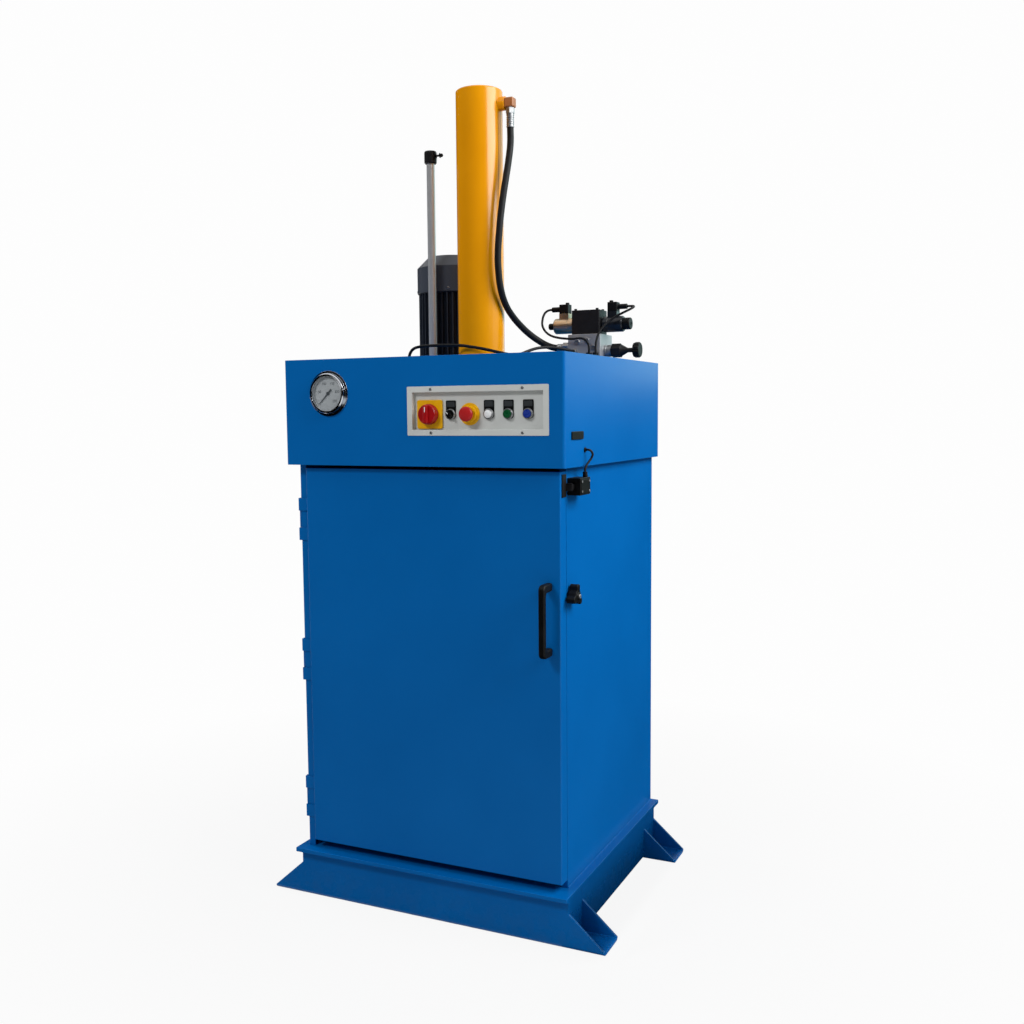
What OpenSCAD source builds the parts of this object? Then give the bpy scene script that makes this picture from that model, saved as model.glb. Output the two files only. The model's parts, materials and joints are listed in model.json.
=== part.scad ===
// Drum baler: a steel cabinet that takes one drum, with a hydraulic ram on its head.
// Millimetres, +Z up, front towards -Y, origin on the floor under the middle of the machine.

/* [Base] */
// Distance of a channel's shoulder inside the end of the base plate
foot_inset = 6; // [2:0.5:12]
// Width of a base channel
foot_w = 108; // [90:1:140]
// Height of a base channel
foot_h = 140; // [120:1:170]
// Plate thickness of the channels and cross plates
foot_t = 8; // [5:0.5:9]
// Outer bend radius of a base channel
foot_bend = 12; // [10:0.5:18]
// Horizontal run of a channel's sloped end
foot_run = 102; // [70:1:130]
// Straight part of a channel's end, under the base plate
foot_shoulder = 41; // [20:1:60]
// Height of a channel's toe
toe_h = 10; // [9:0.5:16]
// Distance of the rear channel from the back of the cabinet
foot_rear_inset = 24; // [10:1:60]
// Height of the cross plates off the floor
cross_lift = 8; // [4:1:30]
// Thickness of the base plate
base_plate_t = 12; // [8:0.5:20]
// Base plate beyond the cabinet's sides
base_plate_side = 25; // [10:1:40]
// Base plate in front of the door
base_plate_front = 26; // [10:1:40]
// Base plate behind the cabinet
base_plate_back = 8; // [2:1:30]

/* [Cabinet] */
// Width of the cabinet
cabinet_w = 826; // [780:1:846]
// Height of the cabinet, from the base plate to the head
cabinet_h = 1148; // [1100:1:1250]
// Sheet thickness of the cabinet walls
wall_t = 4; // [3:0.5:6]
// Width of the folds at the front of the side walls
stile_w = 20; // [14:1:24]
// Recess of the hinge side's fold behind the door's face
stile_recess = 12; // [8:0.5:14]

/* [Head] */
// Width of the head
head_w = 870; // [862:1:920]
// Depth of the head
head_d = 810; // [790:1:860]
// Height of the head
head_h = 300; // [285:1:340]
// Sheet thickness of the head's wrapper
shell_t = 4; // [3:0.5:6]
// Outer bend radius of the wrapper's corners
shell_bend = 8; // [7:0.5:14]
// Thickness of the head's floor
head_floor_t = 10; // [6:0.5:14]
// Thickness of the cover plate that carries the ram
cover_t = 20; // [15:0.5:26]

/* [Ram] */
// Bore of the cylinder
bore_d = 125; // [110:1:128]
// Outer diameter of the cylinder
barrel_d = 140; // [136:1:150]
// Height of the cylinder above the head
cyl_rise = 800; // [770:1:860]
// Thickness of the cylinder's end cap
cap_t = 30; // [20:1:34]
// Diameter of the piston rod
rod_d = 70; // [50:1:80]
// Diameter of the flange under the cover
flange_d = 220; // [190:1:230]
// Thickness of the flange under the cover
flange_t = 25; // [16:1:28]
// Length of the barrel below its flange
barrel_nose = 25; // [15:1:28]
// Length of the piston
piston_l = 50; // [40:1:70]
// Diameter of the pressing plate
platen_d = 540; // [480:1:570]
// Thickness of the pressing plate
platen_t = 20; // [12:1:30]
// Height of the pressing plate's underside below the head
platen_drop = 100; // [92:1:140]
// Stroke of the ram
stroke = 590; // [450:1:592]
// Diameter of the guide rod
guide_d = 25; // [20:1:30]
// Distance of the guide rod from the cylinder
guide_off = 168; // [150:1:185]
// Height of the stop collar on the guide rod
collar_h = 37; // [25:1:45]

/* [Power unit] */
// Distance of the motor to the left of the cylinder
motor_left = 170; // [160:1:190]
// Distance of the motor behind the cylinder
motor_back = 140; // [135:1:160]
// Diameter of the motor over its fins
motor_d = 218; // [200:1:224]
// Height of the ribbed motor frame
motor_frame_h = 233; // [200:1:260]
// Height of the fan cover
fan_cover_h = 115; // [105:1:160]
// Number of cooling fins
fin_n = 40; // [24:1:44]
// Width of the manifold block
manifold_w = 104; // [90:1:112]
// Depth of the manifold block
manifold_d = 108; // [96:1:120]
// Height of the manifold block
manifold_h = 82; // [78:1:96]
// Distance of the manifold from the right side of the head
manifold_inset = 102; // [100:1:125]
// Distance of the manifold behind the front of the head
manifold_back = 540; // [530:1:560]
// Diameter of a solenoid coil
coil_d = 48; // [40:1:52]
// Length of a solenoid coil
coil_l = 68; // [55:1:74]
// Diameter of the relief valve's knob
relief_knob_d = 47; // [34:1:52]

/* [Door] */
// Depth of the folded door
door_t = 40; // [36:1:48]
// Sheet thickness of the door
door_sheet = 3; // [2:0.5:4]
// Distance of the door's face behind the front of the head
door_setback = 23; // [15:1:35]
// Gap above the door
door_gap = 10; // [4:1:16]
// Gap below the door
door_low_gap = 24; // [6:1:30]
// Gap between the door and the latch side wall
door_seam = 2; // [1.5:0.5:4]
// Gap between the door and the hinge side's fold
hinge_gap = 7; // [6:0.5:12]
// Width of the folds round the back of the door
door_lip = 20; // [14:1:22]
// Outer diameter of the hinge knuckles
knuckle_d = 9; // [8:0.5:12]
// Diameter of the hinge pins
hinge_pin_d = 5; // [4:0.5:6]
// Height of one hinge
hinge_h = 124; // [100:1:160]
// Length of a door knuckle
knuckle_l = 37; // [24:1:42]
// Distance of the outer hinges from the ends of the cabinet
hinge_inset = 156; // [130:1:200]
// Length of the pull handle
handle_l = 196; // [160:1:240]
// Width of the pull handle
handle_w = 18; // [14:1:28]
// Distance that the pull handle stands off the door
handle_off = 57; // [44:1:66]
// Distance of the handle from the door's free edge
handle_edge = 32; // [24:1:60]
// Height of the handle above the base plate
handle_up = 748; // [650:1:800]
// Height of the latch above the base plate
latch_up = 805; // [700:1:900]
// Reach of the latch knob's lobes
latch_knob_r = 32; // [28:0.5:34]
// Height of the interlock switch
interlock_h = 46; // [44:1:60]
// Distance that the interlock switch stands off the wall
interlock_off = 38; // [30:1:42]

/* [Controls] */
// Gap between the main switch's plate and the end of the recess
panel_start = 10; // [4:0.5:16]
// Distance from the main switch to the selector
switch_gap = 64; // [58:0.5:70]
// Distance from the last button to the end of the recess
panel_end = 47; // [30:0.5:56]
// Height of the control panel
panel_h = 133; // [125:1:150]
// Width of the panel's rim
panel_rim = 16; // [10:1:18]
// Depth of the panel's recess
panel_recess = 14; // [10:1:22]
// Sheet thickness of the panel
panel_t = 2; // [1.5:0.5:3]
// Middle of the panel to the right of the machine's middle
panel_right = 182; // [170:1:195]
// Middle of the panel below the top of the head
panel_down = 149; // [135:1:165]
// Distance between the controls
control_pitch = 57; // [54:0.5:58]
// Side of the main switch's plate
switch_plate_w = 78; // [70:1:84]
// Diameter of the emergency stop's mushroom
estop_d = 40; // [34:1:46]
// Diameter of a push button
button_d = 22; // [19:0.5:22.5]
// Outer diameter of a button's bezel
bezel_d = 29; // [27:0.5:30]
// Diameter of the gauge's mounting flange
gauge_d = 128; // [122:1:140]
// Diameter of the gauge's case
gauge_case_d = 112; // [104:1:114]
// Gauge to the left of the machine's middle
gauge_left = 283; // [260:1:300]
// Gauge below the top of the head
gauge_down = 97; // [90:1:120]

/* [Hidden] */
$fn = 64;

// Clearances: between moving curved faces, of a sliding fit on the diameter, and of loose holes
run_gap = 0.5;
slide_fit = 0.1;
hole_gap = 1;

// Heights
base_z = foot_h + base_plate_t;
head_z0 = base_z + cabinet_h;
head_z1 = head_z0 + head_h;
cover_z0 = head_z1 - cover_t;
floor_z1 = head_z0 + head_floor_t;

// Depths, with the machine centred between the handle and the back of the base plate
head_y0 = -(head_d + door_setback - handle_off + base_plate_back) / 2;
head_y1 = head_y0 + head_d;
door_y0 = head_y0 + door_setback;
door_y1 = door_y0 + door_t;
stile_y0 = door_y0 + stile_recess;
right_wall_y0 = door_y1 + door_seam;
base_plate_y0 = door_y0 - base_plate_front;
base_plate_y1 = head_y1 + base_plate_back;
foot_front_y = door_y0;
foot_rear_y = head_y1 - foot_rear_inset - foot_w;

// Widths
wall_x = cabinet_w / 2;
head_x = head_w / 2;
foot_top_x = wall_x + base_plate_side - foot_inset;
foot_l = 2 * (foot_top_x + foot_run);
door_x0 = -wall_x + stile_w + hinge_gap;
door_x1 = wall_x;
door_z0 = base_z + door_low_gap;
door_z1 = head_z0 - door_gap;
door_bend = 4;

// Ram
cyl_y = head_y0 + head_d / 2;
barrel_z0 = cover_z0 - flange_t - barrel_nose;
cyl_z1 = head_z1 + cyl_rise;
cap_z0 = cyl_z1 - cap_t;
piston_z1 = cap_z0 - 30;
piston_z0 = piston_z1 - piston_l;
platen_z0 = head_z0 - platen_drop;
platen_z1 = platen_z0 + platen_t;
platen_boss_wall = 25;
platen_boss_d = rod_d + 2 * platen_boss_wall;
platen_boss_h = 55;
rib_n = 6;
rib_t = 12;
guide_boss_d = guide_d + 25;
bush_flange_t = 8;
collar_d = guide_d + 13;
collar_z0 = head_z1 + bush_flange_t + stroke + 8;
collar_z1 = collar_z0 + collar_h;
port_z = cap_z0 - 15;
port_x = barrel_d / 2 + 18;
port_boss_d = 40;
port_d = 14;
barrel_edge = 3;
gland_l = 60;
gland_lip = 8;

// Side cover
side_cover_w = 82;
side_cover_h = 21;
side_cover_t = 4;
side_cover_inset = 86;
side_cover_drop = 216;

// Power unit
motor_x = -motor_left;
motor_y = cyl_y + motor_back;
motor_core_d = motor_d - 30;
motor_flange_d = motor_d + 4;
motor_flange_t = 14;
fin_t = 4;
shaft_d = 28;
rotor_d = 108;
shaft_drop = 140;
shaft_z0 = cover_z0 - shaft_drop;
motor_z1 = head_z1 + motor_frame_h;
end_plate_t = 10;
fan_cover_r = motor_d / 2 + 4;
fan_cover_t = 2;
fan_cover_lap = 8;
fan_cover_z0 = motor_z1 - fan_cover_lap;
fan_cover_z1 = fan_cover_z0 + fan_cover_h;
fan_chamfer = 36;
tank_z1 = barrel_z0 - 12;
pump_w = 90;
pump_d = 100;
pump_h = 70;
bell_wall = 12;
bell_floor = 10;
bell_drop = 20;
coupling_d = 70;
coupling_l = 50;
fan_hub_d = 60;
fan_r = 85;
fan_h = 26;
fan_lift = 18;
fan_blade_t = 4;
fan_blade_n = 7;
core_end = 55;
stator_end = 40;
box_w = 96;
box_out = 42;
box_z0 = 70;
box_z1 = 165;
bell_d = 150;
manifold_x1 = head_x - manifold_inset;
manifold_x0 = manifold_x1 - manifold_w;
manifold_y0 = head_y0 + manifold_back;
manifold_z1 = head_z1 + manifold_h;
valve_margin = 7;
valve_x0 = manifold_x0 + valve_margin;
valve_x1 = manifold_x1 - valve_margin;
valve_d = 70;
valve_h = 74;
valve_y = manifold_y0 + 47;
coil_z = manifold_z1 + 30;
coil_end_d = 28;
coil_end_l = 22;
plug_w = 30;
plug_rise = 68;
plug_z0 = manifold_z1 + plug_rise;
plug_h = 28;
plug_gland_d = 16;
plug_gland_l = 29;
relief_inset = 50;
relief_y = manifold_y0 + relief_inset;
relief_z = head_z1 + 32;
relief_body_d = 36;
relief_body_l = 22;
relief_hex = 43;
relief_hex_l = 30;
relief_cone_l = 20;
relief_stem_d = 14;
relief_stem_l = 20;
relief_spigot_d = 10;
relief_spigot_l = 14;
relief_knob_l = 20;
relief_reach = relief_body_l + relief_hex_l + relief_cone_l + relief_stem_l;
relief_knob_x0 = manifold_x1 + relief_reach;

// Hinges and latch
hinge_side = 0.5;
hinge_back = 19;
hinge_mid_drop = 5;
pivot_x = -wall_x - knuckle_d / 2 - hinge_side;
pivot_y = door_y0 + hinge_back;
hinge_mid_z = base_z + cabinet_h / 2 - hinge_mid_drop;
hinge_pitch = cabinet_h / 2 - hinge_inset;
strap_t = 3.5;
strap_gap = 0.5;
leaf_t = 6;
leaf_l = 34;
latch_y = door_y1 + 14;
latch_z = base_z + latch_up;
latch_shaft_d = 12;
latch_disc_r = 22;
latch_disc_t = 6;
latch_disc_gap = 3;
latch_disc_x1 = wall_x - wall_t - latch_disc_gap;
latch_disc_x0 = latch_disc_x1 - latch_disc_t;
keeper_r = 12;
keeper_d = 6;
keeper_slot = keeper_d + 2 * run_gap;
latch_notch = latch_disc_r + 4;
keeper_plate_t = 5;
keeper_x1 = latch_disc_x0 - 12;
keeper_x0 = keeper_x1 - keeper_plate_t;
interlock_y0 = right_wall_y0 + 5;
interlock_l = 73;
interlock_drop = 28;
interlock_z0 = head_z0 - interlock_drop - interlock_h;
key_slot_w = 7;
key_slot_h = 20;
key_t = 3;
key_tongue_h = 14;
key_x = wall_x + interlock_off / 2;
key_z = interlock_z0 + interlock_h / 2;
key_reach = 12;
handle_x = door_x1 - handle_edge;
handle_z = base_z + handle_up;
handle_bar = 15;
handle_arm = 22;

// Control panel, with its floor as the plane that the controls stand on
panel_x = panel_right;
panel_z = head_z1 - panel_down;
panel_floor_y = head_y0 - panel_t + panel_recess;
recess_w = panel_start + switch_plate_w / 2 + switch_gap + 4 * control_pitch + panel_end;
panel_w = recess_w + 2 * panel_rim;
recess_h = panel_h - 2 * panel_rim;
control_z = panel_z - 9;
switch_x = panel_x - recess_w / 2 + panel_start + switch_plate_w / 2;
selector_x = switch_x + switch_gap;
estop_x = selector_x + control_pitch;
lamp_x = estop_x + control_pitch;
green_x = lamp_x + control_pitch;
blue_x = green_x + control_pitch;
legend_w = 30;
legend_h = 50;
legend_t = 2;
legend_lift = 12;
bezel_h = 7;
button_hole = button_d + 2 * run_gap;
switch_shaft_d = 10;
switch_plate_t = 5;
screw_d = 4;
screw_head_d = 8;
screw_head_h = 2.5;
screw_inset = 74;
screw_x = panel_w / 2 - screw_inset;
gauge_x = -gauge_left;
gauge_z = head_z1 - gauge_down;
gauge_wall = 3;
gauge_front = 12;
gauge_back = 40;
gauge_spindle_d = 4.6;
gland_d = 18;
gland_h = 24;

// Cord diameters and routes: across from the middle, back from the head's front, up from the head's top
hose_d = 20;
hose_route = [
  [102, 405, 684], [102, 405, 640], [100, 396, 590], [96, 384, 535], [92, 372, 480], [88, 363, 425],
  [85, 357, 370], [82, 354, 315], [82, 357, 260], [84, 369, 208], [87, 396, 166], [92, 432, 136],
  [101, 470, 110], [115, 506, 86], [134, 531, 67], [155, 546, 53], [173, 552, 46], [184, 552, 44],
  [190, 552, 44]
];
gauge_hose_d = 9;
gauge_hose_route = [
  [-205, 320, 8], [-205, 320, 18], [-200, 320, 31], [-189, 320, 41.5], [-172, 320, 46.5], [-150, 320, 48.5],
  [-124, 320, 49], [-85, 320, 49], [-48, 320, 47.5], [-16, 320, 45], [8, 320, 41], [32, 320, 37],
  [56, 320, 32], [104, 321, 21], [126, 326, 16], [144, 338, 14], [154, 358, 18], [163, 382, 26],
  [172, 405, 33], [183, 428, 38], [198, 448, 40], [215, 466, 39], [232, 482, 36.5], [243, 495, 33.5],
  [249.5, 508, 31], [252, 518, 30], [252, 526, 30]
];
plug_cable_d = 7;
plug_left_route = [
  [158, 587, 164], [150.5, 587, 164], [139, 583, 159], [133, 577, 148], [132, 569, 133], [135, 560, 117],
  [144, 551, 103], [157, 542, 91], [177, 533, 80], [202, 526, 73], [229, 520, 69], [255, 516, 67],
  [277, 513, 68], [294, 511, 64], [305, 510, 53], [309, 510, 38], [309, 510, 24]
];
plug_right_route = [
  [404, 587, 164], [414, 587, 164], [424, 583, 163], [429, 574, 160], [426, 564, 155], [414, 557, 148],
  [396, 553, 139.5], [376, 549, 129], [357, 543, 114], [343, 533, 98], [335, 526, 82], [331, 520, 67],
  [329, 516, 52], [328, 515, 38], [328, 515, 24]
];
interlock_cable_d = 6;
interlock_route = [
  [442, 128, -314], [442, 128, -307], [444, 133, -297], [448, 142, -287], [453, 149, -276],
  [455, 149, -265], [447, 143, -256], [438, 143, -256]
];
clip_d = 14;
hose_start = hose_route[0];
hose_end = hose_route[len(hose_route) - 1];
gauge_hose_end = gauge_hose_route[len(gauge_hose_route) - 1];
cord_sides = 10;

// Route points in the machine's frame
function placed(route) = [for (p = route) [p[0], head_y0 + p[1], head_z1 + p[2]]];
function unit(v) = v / norm(v);
function heading(route, i) =
  unit(route[min(i + 1, len(route) - 1)] - route[max(i - 1, 0)]);
function ring(centre, along, side, r) =
  let (n = unit(cross(along, side)), b = cross(along, n))
  [for (k = [0 : cord_sides - 1])
    centre + r * (cos(360 * k / cord_sides) * n + sin(360 * k / cord_sides) * b)];

// A round cord swept along its route; side is a direction that the route never takes
module cord(route, d, side) {
  last = len(route) - 1;
  points = [for (i = [0 : last]) each ring(route[i], heading(route, i), side, d / 2)];
  walls = [for (i = [0 : last - 1], k = [0 : cord_sides - 1])
    let (n = (k + 1) % cord_sides)
    [i * cord_sides + k, (i + 1) * cord_sides + k, (i + 1) * cord_sides + n, i * cord_sides + n]];
  start_cap = [for (k = [0 : cord_sides - 1]) k];
  end_cap = [for (k = [cord_sides - 1 : -1 : 0]) last * cord_sides + k];
  polyhedron(points, concat([start_cap], walls, [end_cap]));
}

// A rectangle with round corners, centred
module round_rect(w, h, r) {
  square([w - 2 * r, h], center = true);
  square([w, h - 2 * r], center = true);
  for (x = [-1, 1], y = [-1, 1])
    translate([x * (w / 2 - r), y * (h / 2 - r)]) circle(r);
}

// A box between two corners
module block(a, b) {
  translate(a) cube(b - a);
}

// A round bar along X
module bar_x(d, x0, x1, y, z) {
  translate([x0, y, z]) rotate([0, 90, 0]) cylinder(d = d, h = x1 - x0);
}

// A place on the panel floor, with local +Z towards the operator
module on_panel(x) {
  translate([x, panel_floor_y, control_z]) rotate([90, 0, 0]) children();
}

// The gauge's place on the head's front, with local +Z towards the operator
module on_gauge() {
  translate([gauge_x, head_y0, gauge_z]) rotate([90, 0, 0]) children();
}

// The hinge heights
module at_hinges() {
  for (i = [-1 : 1]) translate([pivot_x, pivot_y, hinge_mid_z + i * hinge_pitch]) children();
}

// Section of a base channel: a plate bent into a U, open upwards
module channel_section() {
  inner_bend = foot_bend - foot_t;
  difference() {
    union() {
      translate([0, foot_bend]) square([foot_w, foot_h - foot_bend]);
      translate([foot_bend, 0]) square([foot_w - 2 * foot_bend, foot_h]);
      for (x = [foot_bend, foot_w - foot_bend]) translate([x, foot_bend]) circle(foot_bend);
    }
    translate([foot_t, foot_bend]) square([foot_w - 2 * foot_t, foot_h]);
    translate([foot_bend, foot_t]) square([foot_w - 2 * foot_bend, foot_h]);
    for (x = [foot_bend, foot_w - foot_bend]) translate([x, foot_bend]) circle(inner_bend);
  }
}

// One base channel, with its flanges cut down to a toe at both ends
module base_channel() {
  intersection() {
    translate([-foot_l / 2, 0, 0]) rotate([90, 0, 90]) linear_extrude(foot_l) channel_section();
    translate([0, foot_w, 0]) rotate([90, 0, 0]) linear_extrude(foot_w)
      polygon([
        [-foot_l / 2, 0], [foot_l / 2, 0], [foot_l / 2, toe_h],
        [foot_top_x, foot_h - foot_shoulder], [foot_top_x, foot_h],
        [-foot_top_x, foot_h], [-foot_top_x, foot_h - foot_shoulder], [-foot_l / 2, toe_h]
      ]);
  }
}

module base_channels() color("steelblue")
  for (y = [foot_front_y, foot_rear_y]) translate([0, y, 0]) base_channel();

// Plates across the ends of the base: long ones between the channels, short ones inside each channel
module base_cross_plates() color("steelblue")
  for (x = [-foot_top_x, foot_top_x - foot_t]) {
    block([x, foot_front_y + foot_w, cross_lift], [x + foot_t, foot_rear_y, foot_h]);
    for (y = [foot_front_y, foot_rear_y])
      block([x, y + foot_t, foot_bend], [x + foot_t, y + foot_w - foot_t, foot_h]);
  }

module base_plate() color("steelblue")
  translate([0, (base_plate_y0 + base_plate_y1) / 2, foot_h]) linear_extrude(base_plate_t)
    round_rect(cabinet_w + 2 * base_plate_side, base_plate_y1 - base_plate_y0, 4);

module side_wall_left() color("royalblue")
  difference() {
    block([-wall_x, stile_y0, base_z], [-wall_x + stile_w, head_y1, head_z0]);
    block([-wall_x + wall_t, stile_y0 + wall_t, base_z - 1], [0, head_y1 + 1, head_z0 + 1]);
  }

module side_wall_right() color("royalblue")
  difference() {
    block([wall_x - stile_w, right_wall_y0, base_z], [wall_x, head_y1, head_z0]);
    block([0, right_wall_y0 + wall_t, base_z - 1], [wall_x - wall_t, head_y1 + 1, head_z0 + 1]);
    block([0, right_wall_y0 - 1, latch_z - latch_notch],
          [wall_x - wall_t, right_wall_y0 + wall_t + 1, latch_z + latch_notch]);
    bar_x(latch_shaft_d + 2 * run_gap, wall_x - wall_t - 1, wall_x + 1, latch_y, latch_z);
  }

module rear_wall() color("royalblue")
  block([-wall_x + wall_t, head_y1 - wall_t, base_z], [wall_x - wall_t, head_y1, head_z0]);

// A plate that fills the inside of the head's wrapper
module head_plate(t) {
  linear_extrude(t)
    round_rect(head_w - 2 * shell_t, head_d - 2 * shell_t, shell_bend);
}

module head_floor() color("royalblue")
  difference() {
    translate([0, cyl_y, head_z0]) head_plate(head_floor_t);
    translate([0, cyl_y, head_z0 - 1]) cylinder(d = rod_d + 20, h = head_floor_t + 2);
    translate([-guide_off, cyl_y, head_z0 - 1]) cylinder(d = guide_d + 10, h = head_floor_t + 2);
  }

module head_shell() color("royalblue")
  difference() {
    translate([0, cyl_y, head_z0]) linear_extrude(head_h) difference() {
      round_rect(head_w, head_d, shell_bend);
      round_rect(head_w - 2 * shell_t, head_d - 2 * shell_t, shell_bend - shell_t);
    }
    translate([panel_x, head_y0 - 1, panel_z]) rotate([-90, 0, 0]) linear_extrude(shell_t + 2)
      square([recess_w + 2 * panel_t + hole_gap, recess_h + 2 * panel_t + hole_gap], center = true);
    for (x = [-screw_x, screw_x], z = [-1, 1])
      translate([panel_x + x, head_y0 - 1, panel_z + z * (panel_h - panel_rim) / 2])
        rotate([-90, 0, 0]) cylinder(d = screw_d + slide_fit, h = shell_t + 2);
    on_gauge() translate([0, 0, -shell_t - 1])
      cylinder(d = gauge_case_d + hole_gap, h = shell_t + 2);
    clip_end = placed(interlock_route)[len(interlock_route) - 1];
    bar_x(interlock_cable_d + hole_gap, head_x - shell_t - 1, head_x + 1, clip_end[1], clip_end[2]);
  }

module head_cover() color("royalblue")
  difference() {
    translate([0, cyl_y, cover_z0]) head_plate(cover_t);
    translate([0, cyl_y, cover_z0 - 1]) cylinder(d = barrel_d + hole_gap, h = cover_t + 2);
    translate([-guide_off, cyl_y, cover_z0 - 1])
      cylinder(d = guide_d + 9 + slide_fit, h = cover_t + 2);
    translate([motor_x, motor_y, cover_z0 - 1]) cylinder(d = shaft_d + 16, h = cover_t + 2);
  }

module oil_tank() color("gray")
  difference() {
    wall = 4;
    tank_x0 = -head_x + shell_t + 20;
    tank_x1 = motor_x + bell_d / 2 + 16;
    tank_y0 = cyl_y + guide_d / 2 + 22;
    tank_y1 = head_y1 - shell_t - 16;
    block([tank_x0, tank_y0, floor_z1], [tank_x1, tank_y1, tank_z1]);
    block([tank_x0 + wall, tank_y0 + wall, floor_z1 + wall],
          [tank_x1 - wall, tank_y1 - wall, tank_z1 - wall]);
    translate([motor_x, motor_y, tank_z1 - wall - 1]) cylinder(d = bell_d + hole_gap, h = wall + 2);
  }

// The pump with its bell housing, hung from the cover under the motor
module gear_pump() color("dimgray")
  translate([motor_x, motor_y, 0]) difference() {
    bell_z0 = shaft_z0 - bell_drop;
    union() {
      translate([0, 0, bell_z0]) cylinder(d = bell_d, h = cover_z0 - bell_z0);
      translate([-pump_w / 2, -pump_d / 2, bell_z0 - pump_h]) cube([pump_w, pump_d, pump_h]);
    }
    translate([0, 0, bell_z0 + bell_floor])
      cylinder(d = bell_d - 2 * bell_wall, h = cover_z0 - bell_z0);
  }

// Barrel with its welded end cap, flange and port boss
module cylinder_barrel() color("orange")
  translate([0, cyl_y, 0]) difference() {
    union() {
      rotate_extrude() polygon([
        [0, barrel_z0], [barrel_d / 2, barrel_z0], [barrel_d / 2, cyl_z1 - barrel_edge],
        [barrel_d / 2 - barrel_edge, cyl_z1], [0, cyl_z1]
      ]);
      translate([0, 0, cover_z0 - flange_t]) cylinder(d = flange_d, h = flange_t);
      bar_x(port_boss_d, 0, port_x, 0, port_z);
    }
    translate([0, 0, barrel_z0 - 1]) cylinder(d = bore_d, h = cap_z0 - barrel_z0 + 1);
    bar_x(port_d, 0, port_x + 1, 0, port_z);
  }

module cylinder_gland() color("silver")
  translate([0, cyl_y, 0]) difference() {
    union() {
      translate([0, 0, barrel_z0]) cylinder(d = bore_d - slide_fit, h = gland_l);
      translate([0, 0, barrel_z0 - gland_lip]) cylinder(d = barrel_d, h = gland_lip);
    }
    translate([0, 0, barrel_z0 - gland_lip - 1])
      cylinder(d = rod_d + slide_fit, h = gland_l + gland_lip + 2);
  }

module piston() color("dimgray")
  translate([0, cyl_y, piston_z0]) difference() {
    cylinder(d = bore_d - slide_fit, h = piston_l);
    for (z = [0.25, 0.65]) translate([0, 0, z * piston_l]) difference() {
      cylinder(d = bore_d + 2, h = 6);
      translate([0, 0, -1]) cylinder(d = bore_d - 10, h = 8);
    }
  }

module piston_rod() color("silver")
  translate([0, cyl_y, platen_z1]) cylinder(d = rod_d, h = piston_z0 - platen_z1);

// Pressing plate with its rod boss, ribs and guide rod socket
module platen() color("steelblue")
  translate([0, cyl_y, platen_z0]) difference() {
    union() {
      rotate_extrude() polygon([
        [0, 0], [platen_d / 2 - 5, 0], [platen_d / 2, 5], [platen_d / 2, platen_t], [0, platen_t]
      ]);
      cylinder(d = platen_boss_d, h = platen_t + platen_boss_h);
      translate([-guide_off, 0, 0]) cylinder(d = guide_boss_d, h = platen_t + 40);
      for (i = [0 : rib_n - 1]) rotate([90, 0, i * 360 / rib_n + 180 / rib_n])
        translate([0, 0, -rib_t / 2]) linear_extrude(rib_t) polygon([
          [platen_boss_d / 4, 1], [platen_d / 2 - 30, 1], [platen_d / 2 - 30, platen_t + 8],
          [platen_boss_d / 2 + 20, platen_t + platen_boss_h - 5],
          [platen_boss_d / 4, platen_t + platen_boss_h - 5]
        ]);
    }
    translate([0, 0, platen_t]) cylinder(d = rod_d + slide_fit, h = platen_boss_h + 1);
    translate([-guide_off, 0, platen_t]) cylinder(d = guide_d + slide_fit, h = 41);
  }

module guide_rod() color("silver")
  translate([-guide_off, cyl_y, platen_z1]) cylinder(d = guide_d, h = collar_z1 - platen_z1);

module guide_bush() color("goldenrod")
  translate([-guide_off, cyl_y, 0]) difference() {
    union() {
      translate([0, 0, cover_z0]) cylinder(d = guide_d + 9, h = cover_t);
      translate([0, 0, head_z1]) cylinder(d = guide_d + 16, h = bush_flange_t);
    }
    translate([0, 0, cover_z0 - 1]) cylinder(d = guide_d + slide_fit, h = cover_t + bush_flange_t + 2);
  }

// Clamp collar with its locking screw
module stop_collar() color("black")
  translate([-guide_off, cyl_y, collar_z0]) {
    difference() {
      cylinder(d = collar_d, h = collar_h);
      translate([0, 0, -1]) cylinder(d = guide_d + slide_fit, h = collar_h + 2);
    }
    bar_x(6, collar_d / 2 - 2, collar_d / 2 + 24, 0, collar_h * 0.6);
    bar_x(11, collar_d / 2 + 14, collar_d / 2 + 24, 0, collar_h * 0.6);
  }

// Ribbed motor frame with its mounting flange, terminal box, stator bore and bearing seats
module motor_frame() color("dimgray")
  translate([motor_x, motor_y, head_z1]) difference() {
    fin_z0 = motor_flange_t + 16;
    fin_h = motor_frame_h - end_plate_t - fin_z0;
    union() {
      cylinder(d = motor_flange_d, h = motor_flange_t);
      cylinder(d = motor_core_d, h = motor_frame_h - 1);
      translate([0, 0, motor_frame_h - end_plate_t])
        cylinder(r = fan_cover_r - fan_cover_t - 0.3, h = end_plate_t);
      for (i = [0 : fin_n - 1]) rotate([0, 0, i * 360 / fin_n])
        translate([motor_core_d / 2 - 2, -fin_t / 2, fin_z0])
          cube([motor_d / 2 - motor_core_d / 2 + 2, fin_t, fin_h]);
      block([-box_w / 2, motor_core_d / 2 - fin_t, box_z0], [box_w / 2, motor_d / 2 + box_out, box_z1]);
    }
    translate([0, 0, stator_end])
      cylinder(d = rotor_d + 2 * run_gap, h = motor_frame_h - stator_end - 2 * end_plate_t);
    translate([0, 0, -1]) cylinder(d = shaft_d + slide_fit, h = motor_frame_h + 2);
  }

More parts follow.
